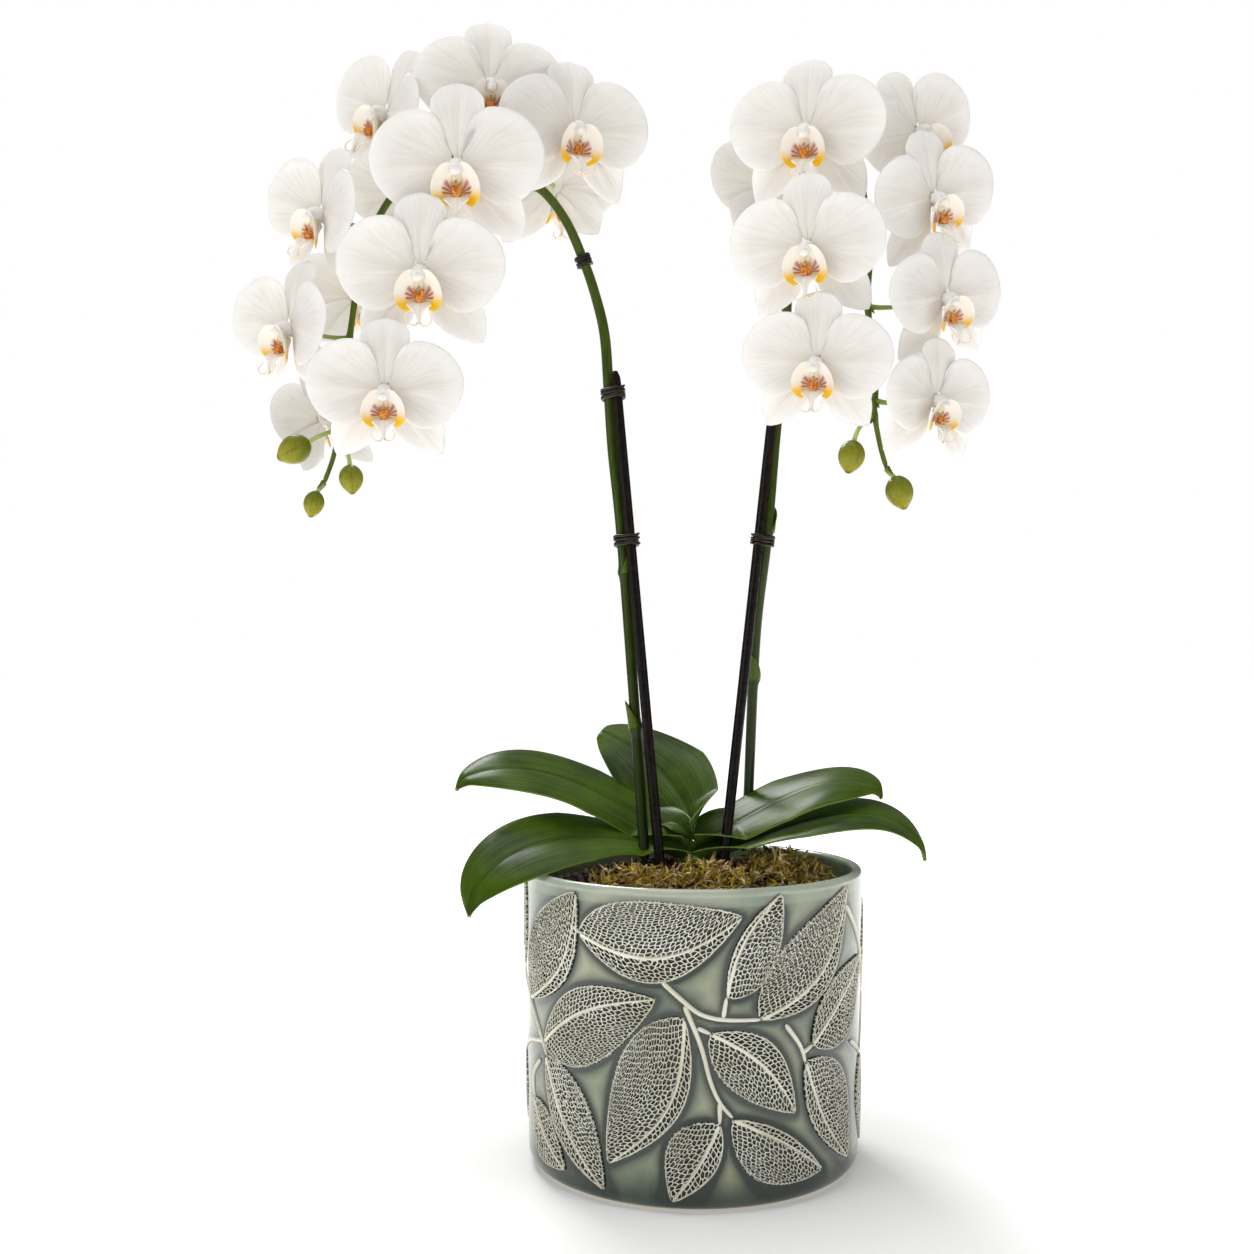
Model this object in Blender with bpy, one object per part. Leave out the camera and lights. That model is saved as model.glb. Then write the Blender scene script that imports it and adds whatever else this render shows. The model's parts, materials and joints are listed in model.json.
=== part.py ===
"""A potted moth orchid: two arching flower spikes tied to canes, in a glazed pot.

Metres, +Z up. The origin is the middle of the pot's flat base, and -Y is the front.
Every flower, leaf, spike, cane, tie and clump of moss is a closed solid of its own.
"""

import math

import bmesh
import bpy
from mathutils import Matrix, Vector

# ---------------------------------------------------------------- sizes
CLEARANCE = 0.0004  # gap left between pieces that touch

POT_RIM_RADIUS = 0.095
POT_TAPER = 0.0025  # how much narrower the wall is at its foot than at its rim
POT_HEIGHT = 0.165
POT_WALL = 0.006
POT_FLOOR = 0.009
POT_CORNER = 0.009
POT_SEGMENTS = 48

MIX_BELOW_RIM = 0.015  # at the pot's wall
MIX_CROWNING = 0.016  # how much higher the mix stands in the middle
MIX_SEGMENTS = 32

CROWN_RADIUS = 0.0115
CROWN_ABOVE_MIX = 0.005
ROOTS_BELOW_MIX = 0.004  # where the stem of the plant turns into its roots
ROOT_BALL_DEPTH = 0.032

SPIKE_BASE_RADIUS = 0.0030
SPIKE_TIP_RADIUS = 0.0013
SPIKE_STEP = 0.017  # length of one straight stretch of a spike
PEDICEL_RADIUS = 0.0012
PEDICEL_PULL = 0.4  # how far a stalk's ends keep straight on, as a share of its length

CANE_RADIUS = 0.0029
CANE_DEPTH = 0.085  # how deep a cane is pushed into the mix
CANE_GAP = 0.0010  # between a cane and the spike tied to it

TIE_WIRE_RADIUS = 0.0016
TIE_SLACK = 0.0007  # between a band and what it holds
TIE_SIDES = 10

LEAF_THICKNESS = 0.0022
LEAF_FOOT_GAP = 0.004  # from the crown to where a leaf starts
LEAF_FOOT_SHARE = 0.2  # how wide a leaf starts, as a share of its width

MOSS_EDGE = 0.0015  # how thick a cushion of moss is at its edge
MOSS_LIFT = 0.0006  # how far the strands of the moss hold it off the mix

FLOWER_SPAN = 0.085  # over the petals of a middling flower
PETAL_THICKNESS = 0.0013

# ---------------------------------------------------------------- places
# Places of the plant are (x, y) from the pot's axis and a height over the rim.
# Each spike climbs beside its cane, arches over and hangs down with its flowers.
LEFT_SPIKE = [
    (-0.0275, -0.014, 0.003),
    (-0.0318, -0.005, 0.070),
    (-0.0402, 0.005, 0.183),
    (-0.0455, 0.011, 0.235),
    (-0.0480, 0.0155, 0.272),
    (-0.0503, 0.0170, 0.303),
    (-0.0557, 0.0155, 0.326),
    (-0.0627, 0.0130, 0.346),
    (-0.0725, 0.008, 0.367),
    (-0.0867, 0.004, 0.384),
    (-0.109, 0.001, 0.398),
    (-0.132, 0.001, 0.403),
    (-0.155, 0.002, 0.395),
    (-0.175, 0.002, 0.373),
    (-0.188, 0.002, 0.342),
    (-0.1935, 0.001, 0.308),
    (-0.197, 0.000, 0.280),
    (-0.200, 0.000, 0.252),
    (-0.2035, 0.000, 0.232),
    (-0.209, 0.000, 0.216),
]
RIGHT_SPIKE = [
    (0.0315, 0.032, 0.003),
    (0.0337, 0.029, 0.033),
    (0.0372, 0.020, 0.127),
    (0.0430, 0.0125, 0.184),
    (0.0486, 0.0192, 0.243),
    (0.0522, 0.0224, 0.275),
    (0.0550, 0.0232, 0.307),
    (0.0573, 0.0220, 0.347),
    (0.0614, 0.0180, 0.388),
    (0.0668, 0.012, 0.413),
    (0.0750, 0.000, 0.422),
    (0.0844, -0.013, 0.413),
    (0.0901, -0.021, 0.391),
    (0.0936, -0.026, 0.365),
    (0.0955, -0.029, 0.337),
    (0.0945, -0.031, 0.309),
    (0.0985, -0.033, 0.270),
    (0.0975, -0.034, 0.252),
    (0.1004, -0.035, 0.233),
    (0.1040, -0.035, 0.220),
]
# A cane starts in the mix and touches its spike, on one side, at its lower tie.
# name: spike, start in the mix, side of the spike in degrees round it, tie height, top
CANES = {
    "cane_left": (LEFT_SPIKE, (-0.0183, -0.019, -0.005), -45, 0.183, 0.281),
    "cane_right": (RIGHT_SPIKE, (0.0160, -0.0115, -0.005), 225, 0.184, 0.281),
}
# name: height of the tie, spike it goes round, cane it goes round
TIES = {
    "tie_left_lower": (0.183, LEFT_SPIKE, "cane_left"),
    "tie_left_upper": (0.268, LEFT_SPIKE, "cane_left"),
    "tie_left_top": (0.345, LEFT_SPIKE, None),
    "tie_right_lower": (0.184, RIGHT_SPIKE, "cane_right"),
    "tie_right_upper": (0.269, RIGHT_SPIKE, "cane_right"),
}

# name: throat, size, turn to the right, tilt up, roll clockwise
FLOWERS = {
    "flower_left_01": ((-0.066, -0.022, 0.409), 1.06, 24, 0, 0),
    "flower_left_02": ((-0.113, -0.024, 0.432), 1.00, 12, 2, 0),
    "flower_left_03": ((-0.174, -0.004, 0.424), 0.99, -42, 5, 32),
    "flower_left_04": ((-0.128, -0.050, 0.380), 1.12, 0, -8, 0),
    "flower_left_05": ((-0.2085, -0.012, 0.365), 0.99, -40, 0, 20),
    "flower_left_06": ((-0.147, -0.056, 0.322), 1.08, 0, -8, 0),
    "flower_left_07": ((-0.225, -0.018, 0.300), 1.00, -40, 0, 12),
    "flower_left_08": ((-0.165, -0.062, 0.258), 0.99, 3, -8, 0),
    "flower_left_09": ((-0.218, 0.036, 0.257), 0.85, -130, -5, 10),
    "flower_left_10": ((-0.079, 0.040, 0.395), 1.00, 160, -5, 0),
    "flower_left_11": ((-0.200, 0.046, 0.331), 0.94, -150, -5, 0),
    "flower_left_12": ((-0.165, 0.052, 0.395), 0.99, -165, 5, 0),
    "flower_right_01": ((0.060, -0.040, 0.402), 1.04, -18, -4, 2),
    "flower_right_02": ((0.058, -0.060, 0.334), 1.01, -18, -8, 0),
    "flower_right_03": ((0.062, -0.066, 0.272), 0.96, -18, -8, 4),
    "flower_right_04": ((0.046, 0.044, 0.397), 0.94, -155, 0, 0),
    "flower_right_05": ((0.124, -0.024, 0.407), 0.94, 28, 0, -32),
    "flower_right_06": ((0.128, -0.046, 0.364), 0.94, 26, -6, -15),
    "flower_right_07": ((0.133, -0.052, 0.309), 0.91, 26, -6, -10),
    "flower_right_08": ((0.127, -0.056, 0.254), 0.86, 30, -6, 0),
}
# name: middle, length, width, the way its tip points
BUDS = {
    "bud_left_1": ((-0.225, -0.005, 0.234), 0.0200, 0.0170, (-0.85, -0.15, -0.5)),
    "bud_left_2": ((-0.192, -0.010, 0.217), 0.0165, 0.0140, (0.1, -0.1, -1.0)),
    "bud_left_3": ((-0.215, 0.000, 0.204), 0.0150, 0.0120, (-0.25, 0.0, -1.0)),
    "bud_right_1": ((0.084, -0.040, 0.226), 0.0180, 0.0150, (-0.2, -0.1, -1.0)),
    "bud_right_2": ((0.111, -0.036, 0.207), 0.0185, 0.0155, (0.3, 0.0, -1.0)),
}
# A leaf starts at an angle round the crown. Its tip reaches past the rim, so the
# two places near the tip are in rim radii.
# name: angle and height of its foot, place near the foot, two near the tip, width, roll, fold
LEAVES = {
    "leaf_left_lower": (
        164, 0.008, (-0.042, 0.006, 0.023), (-1.18, -0.46, 0.025), (-1.28, -0.56, -0.017),
        0.053, 24, 12,
    ),
    "leaf_left_upper": (
        125, 0.016, (-0.036, 0.034, 0.025), (-0.95, 0.17, 0.069), (-1.41, -0.02, 0.046),
        0.058, 24, 10,
    ),
    "leaf_back": (
        85, 0.021, (0.008, 0.038, 0.039), (-0.21, 0.59, 0.069), (-0.56, 0.74, 0.070),
        0.060, 38, 8,
    ),
    "leaf_right_upper": (
        39, 0.017, (0.034, 0.008, 0.025), (0.84, 0.02, 0.059), (1.12, -0.06, 0.042),
        0.058, -20, 8,
    ),
    "leaf_right_lower": (
        4, 0.007, (0.045, -0.006, 0.017), (1.10, -0.23, 0.052), (1.33, -0.32, 0.010),
        0.048, -15, 12,
    ),
}
# name: middle and radii in shares of the mix's radius, height over the mix
MOSS = {
    "moss_left": ((-0.39, -0.51), (0.25, 0.19), 0.006),
    "moss_front": ((0.10, -0.53), (0.22, 0.20), 0.006),
    "moss_right": ((0.60, -0.16), (0.27, 0.36), 0.010),
}

# A blade is a fan of rays from its base. Sizes are shares of the flower's span.
# name: base, turn clockwise from up, length, spread of the fan, roundness, lift, curl, cup
BLADES = {
    "dorsal_sepal": ((0, 0.010, -0.020), 0, 0.46, 54, 0.50, 2, -0.5, 0.9),
    "sepal_right": ((0.010, -0.010, -0.022), 139, 0.53, 46, 0.60, 0, -0.7, 1.0),
    "sepal_left": ((-0.010, -0.010, -0.022), -139, 0.53, 46, 0.60, 0, -0.7, 1.0),
    "petal_right": ((0.010, 0.004, -0.004), 88, 0.49, 80, 0.55, 9, -0.5, 0.35),
    "petal_left": ((-0.010, 0.004, -0.004), -88, 0.49, 80, 0.55, 9, -0.5, 0.35),
    "lip_side_right": ((0.015, -0.150, 0.010), 48, 0.175, 56, 0.50, 42, 4.0, 5.0),
    "lip_side_left": ((-0.015, -0.150, 0.010), -48, 0.175, 56, 0.50, 42, 4.0, 5.0),
    "lip_front": ((0, -0.150, 0.020), 180, 0.175, 42, 0.62, 48, -5.0, 5.0),
}
PETAL_RINGS, PETAL_RAYS = (0.6, 1.0), 6  # the two broad petals are the finest blades
BLADE_RINGS, BLADE_RAYS = (1.0,), 4
RAY_FILL = 0.93  # how far out the first and last ray go, as a share of the spread
HUB = (0.105, 0.105, 0.075)  # the ball that the blades grow from
LIP_FOOT = (0.085, 0.215, 0.075)  # the lip's thick foot, under the column
LIP_FOOT_PLACE = (0, -0.085, 0.012)
COLUMN = ((0, 0, -0.01), (0, -0.030, 0.105))
COLUMN_RADII = (0.030, 0.036)


# ---------------------------------------------------------------- helpers
def clear_scene():
    for obj in list(bpy.data.objects):
        bpy.data.objects.remove(obj, do_unlink=True)


def material(name, colour, roughness, metallic=0.0):
    made = bpy.data.materials.new(name)
    made.use_nodes = True
    shader = made.node_tree.nodes["Principled BSDF"]
    shader.inputs["Base Color"].default_value = (*colour, 1.0)
    shader.inputs["Roughness"].default_value = roughness
    shader.inputs["Metallic"].default_value = metallic
    return made


def object_of(name, mesh, finish=None, helper=False):
    obj = bpy.data.objects.new(name, mesh)
    bpy.context.scene.collection.objects.link(obj)
    if finish:
        obj.data.materials.append(finish)
    if helper:
        obj.hide_render = True
        obj.display_type = "WIRE"
    return obj


def mesh_from(name, build):
    """A mesh filled by build(bm), with its faces pointing out."""
    bm = bmesh.new()
    build(bm)
    bmesh.ops.recalc_face_normals(bm, faces=bm.faces)
    mesh = bpy.data.meshes.new(name)
    bm.to_mesh(mesh)
    bm.free()
    mesh.shade_smooth()
    mesh.set_sharp_from_angle(angle=math.radians(40))
    return mesh


def evaluated_mesh(obj, name):
    """The object's mesh with its modifiers applied, as a mesh of its own."""
    bpy.context.view_layer.update()
    graph = bpy.context.evaluated_depsgraph_get()
    mesh = bpy.data.meshes.new_from_object(obj.evaluated_get(graph))
    mesh.name = name
    return mesh


def lathe(name, profile, segments):
    """A solid turned about Z from (radius, height) points that start and end on the axis."""

    def build(bm):
        verts = [bm.verts.new((r, 0, z)) for r, z in profile]
        edges = [bm.edges.new(pair) for pair in zip(verts, verts[1:])]
        bmesh.ops.spin(
            bm, geom=verts + edges, cent=(0, 0, 0), axis=(0, 0, 1),
            angle=2 * math.pi, steps=segments, use_merge=True,
        )
        bmesh.ops.remove_doubles(bm, verts=bm.verts, dist=1e-5)

    return mesh_from(name, build)


def arc(centre, radius, start, end, steps):
    """(radius, height) points on an arc of a turned profile, angles in degrees."""
    angles = [math.radians(start + (end - start) * i / steps) for i in range(steps + 1)]
    return [(centre[0] + radius * math.cos(a), centre[1] + radius * math.sin(a)) for a in angles]


def smooth_line(points, step):
    """Points about a step apart on a Catmull-Rom curve through the given points."""
    ends = [2 * Vector(points[0]) - Vector(points[1])]
    ends += [Vector(p) for p in points]
    ends.append(2 * Vector(points[-1]) - Vector(points[-2]))
    line = []
    for before, a, b, after in zip(ends, ends[1:], ends[2:], ends[3:]):
        count = max(1, round((b - a).length / step))
        for i in range(count):
            t = i / count
            line.append(
                0.5 * (2 * a + (b - before) * t + (2 * before - 5 * a + 4 * b - after) * t**2
                       + (3 * a - before - 3 * b + after) * t**3)
            )
    line.append(Vector(points[-1]))
    return line


def bezier(points, t):
    """A point of a cubic Bezier curve, and the curve's direction there."""
    a, b, c, d = points
    place = a * (1 - t) ** 3 + b * 3 * t * (1 - t) ** 2 + c * 3 * t**2 * (1 - t) + d * t**3
    along = (b - a) * (1 - t) ** 2 + (c - b) * 2 * t * (1 - t) + (d - c) * t**2
    return place, along.normalized()


def tube_mesh(name, line, radii, sides):
    """A solid round tube along a line, with a radius at each point."""
    curve = bpy.data.curves.new(name, "CURVE")
    curve.dimensions = "3D"
    curve.bevel_depth = 1.0
    curve.bevel_resolution = (sides - 4) // 2
    curve.use_fill_caps = True
    spline = curve.splines.new("POLY")
    spline.points.add(len(line) - 1)
    for point, place, radius in zip(spline.points, line, radii):
        point.co = (*place, 1.0)
        point.radius = radius
    guide = object_of(name + "_guide", curve, helper=True)
    mesh = evaluated_mesh(guide, name)
    bpy.data.objects.remove(guide, do_unlink=True)
    bm = bmesh.new()
    bm.from_mesh(mesh)
    bmesh.ops.remove_doubles(bm, verts=bm.verts, dist=1e-6)
    bmesh.ops.recalc_face_normals(bm, faces=bm.faces)
    bm.to_mesh(mesh)
    bm.free()
    return mesh


def ball_mesh(name, size, detail):
    """A ball stretched to the given sizes along X, Y and Z."""

    def build(bm):
        bmesh.ops.create_icosphere(bm, subdivisions=detail, radius=0.5)
        bmesh.ops.scale(bm, vec=size, verts=bm.verts)

    return mesh_from(name, build)


def boolean(obj, operation, other):
    made = obj.modifiers.new(operation.lower(), "BOOLEAN")
    made.operation = operation
    made.object = other
    made.solver = "EXACT"


def union_mesh(name, meshes):
    """One closed mesh joined from several overlapping ones."""
    body = object_of(name + "_first", meshes[0], helper=True)
    others = [object_of(f"{name}_{i}", m, helper=True) for i, m in enumerate(meshes[1:])]
    for other in others:
        boolean(body, "UNION", other)
    mesh = evaluated_mesh(body, name)
    for helper in [body, *others]:
        bpy.data.objects.remove(helper, do_unlink=True)
    return mesh


# ---------------------------------------------------------------- pot and mix
def pot_mesh():
    rim_round = POT_WALL / 2
    foot = POT_RIM_RADIUS - POT_TAPER
    corner = (foot - POT_CORNER, POT_CORNER)
    rim = (POT_RIM_RADIUS - rim_round, POT_HEIGHT - rim_round)
    inner_corner = (foot - POT_WALL - POT_CORNER / 2, POT_FLOOR + POT_CORNER / 2)
    profile = [(0, 0)]
    profile += arc(corner, POT_CORNER, -90, 0, 3)
    profile += arc(rim, rim_round, 0, 180, 4)
    profile += arc(inner_corner, POT_CORNER / 2, 0, -90, 2)
    profile += [(0, POT_FLOOR)]
    return lathe("pot", profile, POT_SEGMENTS)


def inner_radius(height):
    """The pot's inner radius at a height, above its inner corner."""
    low, high = POT_FLOOR + POT_CORNER / 2, POT_HEIGHT - POT_WALL / 2
    share = (height - low) / (high - low)
    return POT_RIM_RADIUS - POT_WALL - POT_TAPER * (1 - share)


MIX_EDGE = POT_HEIGHT - MIX_BELOW_RIM


def mix_top(x, y):
    """Height of the potting mix at a place, a low dome."""
    share = min(1.0, math.hypot(x, y) / inner_radius(MIX_EDGE))
    return MIX_EDGE + MIX_CROWNING * (1 - share**2)


def mix_mesh():
    fit = math.cos(math.pi / POT_SEGMENTS)  # the pot's facets stand inside its round
    outer = inner_radius(MIX_EDGE) * fit - CLEARANCE
    low = inner_radius(POT_FLOOR + POT_CORNER / 2) * fit - CLEARANCE
    base = POT_FLOOR + CLEARANCE
    profile = [(0, base), (low - POT_CORNER / 2, base), (low, base + POT_CORNER / 2)]
    rings = 5
    for ring in range(rings + 1):
        radius = outer * (1 - ring / rings)
        profile.append((radius, mix_top(radius, 0)))
    return lathe("mix", profile, MIX_SEGMENTS)


def crown_profile(grow):
    """The short stem over the mix and the roots under it, grown all round by a margin."""
    top = mix_top(0, 0) + CROWN_ABOVE_MIX
    ground = mix_top(0, 0) - ROOTS_BELOW_MIX
    radius = CROWN_RADIUS + grow
    return [
        (0, ground - ROOT_BALL_DEPTH - grow),
        (radius * 0.5, ground - ROOT_BALL_DEPTH - grow),
        (radius * 0.92, ground - ROOT_BALL_DEPTH / 2),
        (radius, ground + grow),
        (radius * 0.8, top + grow),
        (0, top + grow),
    ]


def over_rim(place):
    """A place of the plant, given with its height over the rim, in the pot's frame."""
    return Vector((place[0], place[1], POT_HEIGHT + place[2]))


def cane_line(name, extra=0.0):
    """The straight line of a cane, from its buried foot to its top."""
    spike, start, side, tie_height, top = CANES[name]
    held = place_at_height(spike_line(spike)[0], POT_HEIGHT + tie_height)[0]
    out = math.radians(side)
    apart = SPIKE_BASE_RADIUS + CANE_RADIUS + CANE_GAP
    held += Vector((math.cos(out), math.sin(out), 0)) * apart
    start = over_rim(start)
    along = (held - start).normalized()
    end = start + along * ((POT_HEIGHT + top - start.z) / along.z)
    return [start - along * (CANE_DEPTH + extra), end + along * extra]


def cane_mesh(name, grow=0.0):
    return tube_mesh(name, cane_line(name, grow), [CANE_RADIUS + grow] * 2, 12)


# ---------------------------------------------------------------- spikes, buds and flowers
def spike_radius(share):
    """Radius along a spike: stout to the arch, then tapering to its tip."""
    taper = max(0.0, (share - 0.45) / 0.55)
    return SPIKE_BASE_RADIUS + (SPIKE_TIP_RADIUS - SPIKE_BASE_RADIUS) * taper


def spike_line(points):
    line = smooth_line([over_rim(p) for p in points], SPIKE_STEP)
    radii = [spike_radius(i / (len(line) - 1)) for i in range(len(line))]
    return line, radii


def frame_facing(place, turn, tilt, roll, size):
    """The matrix of a flower: its own +Z is the way it faces and its own +Y is up."""
    face_front = Matrix.Rotation(math.radians(90), 4, "X")
    turned = Matrix.Rotation(math.radians(turn), 4, "Z")
    tilted = Matrix.Rotation(math.radians(-tilt), 4, "X")
    rolled = Matrix.Rotation(math.radians(-roll), 4, "Z")
    return Matrix.Translation(place) @ turned @ tilted @ face_front @ rolled @ Matrix.Scale(size, 4)


def bent(distance, curvature):
    """How far along and how high a point lies on a line bent to an arc."""
    if abs(curvature) < 1e-6:
        return distance, 0.0
    angle = curvature * distance
    return math.sin(angle) / curvature, (1 - math.cos(angle)) / curvature


def blade_point(blade, share, angle, height=0.0):
    """A point of a blade: a share of the way out along the ray at an angle, in flower spans."""
    base, turn, length, spread, roundness, lift, curl, cup = blade
    reach = length * share * max(0.0, math.cos(math.radians(angle * 90 / spread))) ** roundness
    along, rise = bent(reach * math.cos(math.radians(angle)), curl)
    across, side_rise = bent(reach * math.sin(math.radians(angle)), cup)
    point = Vector((across, along, rise + side_rise + height))
    point.rotate(Matrix.Rotation(math.radians(lift), 3, "X"))
    point.rotate(Matrix.Rotation(math.radians(-turn), 3, "Z"))
    return point + Vector(base)


def blade_mesh(name, blade, thickness):
    """A thin closed blade: two fans of rings joined round their edge."""
    broad = name.startswith("petal")
    rays, rings = (PETAL_RAYS, PETAL_RINGS) if broad else (BLADE_RAYS, BLADE_RINGS)
    edge = RAY_FILL * blade[3]
    angles = [edge * (2 * i / rays - 1) for i in range(rays + 1)]

    def build(bm):
        faces = []
        for side in (thickness / 2, -thickness / 2):
            root = bm.verts.new(blade_point(blade, 0, 0, side))
            rows = [[bm.verts.new(blade_point(blade, s, a, side)) for a in angles] for s in rings]
            faces.append((root, rows))
            for a, b in zip(rows[0], rows[0][1:]):
                bm.faces.new((root, a, b))
            for inner, outer in zip(rows, rows[1:]):
                for i in range(rays):
                    bm.faces.new((inner[i], outer[i], outer[i + 1], inner[i + 1]))
        outlines = []
        for root, rows in faces:
            up_one_side = [row[0] for row in rows]
            down_the_other = [row[-1] for row in rows[::-1]]
            outlines.append([root, *up_one_side, *rows[-1][1:-1], *down_the_other])
        top, bottom = outlines
        for i in range(len(top)):
            j = (i + 1) % len(top)
            bm.faces.new((top[i], top[j], bottom[j], bottom[i]))

    return mesh_from(name, build)


def flower_mesh():
    """A flower one span wide: five tepals and a three-lobed lip on a hub with its column."""
    hub = ball_mesh("hub", HUB, 1)
    lip_foot = ball_mesh("lip_foot", LIP_FOOT, 1)
    lip_foot.transform(Matrix.Translation(LIP_FOOT_PLACE))
    column = tube_mesh("column", [Vector(p) for p in COLUMN], COLUMN_RADII, 6)
    blades = [blade_mesh(n, b, PETAL_THICKNESS / FLOWER_SPAN) for n, b in BLADES.items()]
    return union_mesh("flower", [hub, lip_foot, column, *blades])


def stalk_line(start, leaving, end, arriving, steps=3):
    """A Bezier stalk that leaves one way and arrives the other."""
    reach = (end - start).length * PEDICEL_PULL
    points = (start, start + leaving * reach, end - arriving * reach, end)
    return [bezier(points, i / steps)[0] for i in range(steps + 1)]


def stalk_mesh(name, spike, radii, end, arriving):
    """A stalk from the nearest point of the spike's hanging half to the back of a flower or bud."""
    first, last = int(len(spike) * 0.45), len(spike) - 1
    behind = end - arriving * 0.015
    nearest = min(range(first, last + 1), key=lambda i: (spike[i] - behind).length)
    along = (spike[min(nearest + 1, last)] - spike[nearest - 1]).normalized()
    way = end - spike[nearest]
    out = (way - along * way.dot(along)).normalized()
    start = spike[nearest] + out * (radii[nearest] + CLEARANCE + PEDICEL_RADIUS * 0.3)
    leaving = (out + along * 0.3).normalized()
    if nearest == last:
        start, leaving = spike[last] + along * CLEARANCE, along
    line = stalk_line(start, leaving, end, arriving)
    return tube_mesh(name, line, [PEDICEL_RADIUS] * len(line), 6)


def add_flower(name, shared, spike, radii, finish):
    place, size, turn, tilt, roll = FLOWERS[name]
    frame = frame_facing(over_rim(place), turn, tilt, roll, FLOWER_SPAN * size)
    petals = shared.copy()
    petals.transform(frame)
    facing = (frame.to_3x3() @ Vector((0, 0, 1))).normalized()
    back = frame @ Vector((0, 0, -0.01))
    stalk = stalk_mesh(name + "_stalk", spike, radii, back, facing)
    object_of(name, union_mesh(name, [petals, stalk]), finish)


def add_bud(name, spike, radii, finish):
    place, length, width, tip = BUDS[name]
    place, tip = over_rim(place), Vector(tip).normalized()
    body = ball_mesh(name + "_body", (width, width, length), 2)
    body.transform(Matrix.Translation(place) @ tip.to_track_quat("Z", "Y").to_matrix().to_4x4())
    back = place - tip * length * 0.35
    stalk = stalk_mesh(name + "_stalk", spike, radii, back, tip)
    object_of(name, union_mesh(name, [body, stalk]), finish)


# ---------------------------------------------------------------- leaves
def midrib(leaf):
    """The four Bezier points of a leaf's midrib."""
    angle, height, near_foot, near_tip, tip = leaf[:5]
    out = CROWN_RADIUS + LEAF_FOOT_GAP
    foot = (out * math.cos(math.radians(angle)), out * math.sin(math.radians(angle)), height)
    past_rim = [(x * POT_RIM_RADIUS, y * POT_RIM_RADIUS, z) for x, y, z in (near_tip, tip)]
    return [over_rim(p) for p in (foot, near_foot, *past_rim)]


def leaf_half_width(width, t):
    """Half the leaf's width: a narrow folded foot, a broad blade and a blunt tip."""
    foot = LEAF_FOOT_SHARE + (1 - LEAF_FOOT_SHARE) * min(1.0, t / 0.5) ** 1.3
    tip = max(0.0, 1 - max(0.0, (t - 0.45) / 0.55) ** 2.2) ** 0.65
    return width / 2 * foot * tip


def leaf_mesh(name, leaf):
    """A folded leaf: cross-sections along its midrib, thick in the middle and thin at its edges."""
    points = midrib(leaf)
    width, roll, fold = leaf[5:]
    steps, shares = 9, (-1.0, -0.5, 0.0, 0.5, 1.0)

    def build(bm):
        rings = []
        for i in range(steps + 1):
            t = 0.992 * (i / steps) ** 0.85
            place, along = bezier(points, t)
            across = along.cross(Vector((0, 0, 1))).normalized()
            across.rotate(Matrix.Rotation(math.radians(-roll), 3, along))
            up = across.cross(along)
            half = leaf_half_width(width, t)
            bend = math.radians(fold) * (1 - 0.7 * t)
            ring = []
            for side, order in ((0.5, shares), (-0.5, shares[::-1])):
                for s in order:
                    thick = LEAF_THICKNESS * (1 - 0.6 * abs(s)) * side
                    out = across * (s * half * math.cos(bend))
                    rise = up * (abs(s) * half * math.sin(bend) + thick)
                    ring.append(bm.verts.new(place + out + rise))
            rings.append(ring)
        count = len(rings[0])
        for ring, after in zip(rings, rings[1:]):
            for i in range(count):
                j = (i + 1) % count
                bm.faces.new((ring[i], ring[j], after[j], after[i]))
        half_count = len(shares)
        for ring in (rings[0], rings[-1]):
            for i in range(half_count - 1):
                k = count - 1 - i
                bm.faces.new((ring[i], ring[i + 1], ring[k - 1], ring[k]))

    return mesh_from(name, build)


# ---------------------------------------------------------------- ties and moss
def place_at_height(line, height):
    """The point where a line first passes a height, and its direction there."""
    for a, b in zip(line, line[1:]):
        if a.z <= height <= b.z:
            return a + (b - a) * ((height - a.z) / (b.z - a.z)), (b - a).normalized()
    raise ValueError(f"the line doesn't pass {height}")


def tie_mesh(name, height, spike, cane):
    """A band round the spike, and round its cane if it has one, as a stadium with a hole."""
    line = spike_line(spike)[0]
    first, axis = place_at_height(line, POT_HEIGHT + height)
    first_radius = SPIKE_BASE_RADIUS
    second, second_radius = first, first_radius
    if cane:
        second, cane_way = place_at_height(cane_line(cane), POT_HEIGHT + height)
        second_radius = CANE_RADIUS
        axis = (axis + cane_way).normalized()
    apart = second - first
    apart -= axis * apart.dot(axis)
    across = apart.normalized() if apart.length > 1e-5 else axis.orthogonal().normalized()
    deep = axis.cross(across)
    half = TIE_SIDES // 2

    def outline(margin):
        points = []
        for centre, radius, start in ((second, second_radius, -90), (first, first_radius, 90)):
            for i in range(half + 1):
                a = math.radians(start + 180 * i / half)
                reach = (radius + margin) / math.cos(math.pi / (2 * half))
                points.append(centre + (across * math.cos(a) + deep * math.sin(a)) * reach)
        return points

    def build(bm):
        tall = 2 * TIE_WIRE_RADIUS
        inner, outer = outline(TIE_SLACK), outline(TIE_SLACK + 2 * TIE_WIRE_RADIUS)
        loops = []
        for points, level in ((inner, -tall), (inner, tall), (outer, tall), (outer, -tall)):
            loops.append([bm.verts.new(p + axis * level) for p in points])
        count = len(inner)
        for k in range(4):
            here, there = loops[k], loops[(k + 1) % 4]
            for i in range(count):
                j = (i + 1) % count
                bm.faces.new((here[i], here[j], there[j], there[i]))

        bmesh.ops.remove_doubles(bm, verts=bm.verts, dist=1e-6)

    return mesh_from(name, build)


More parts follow.
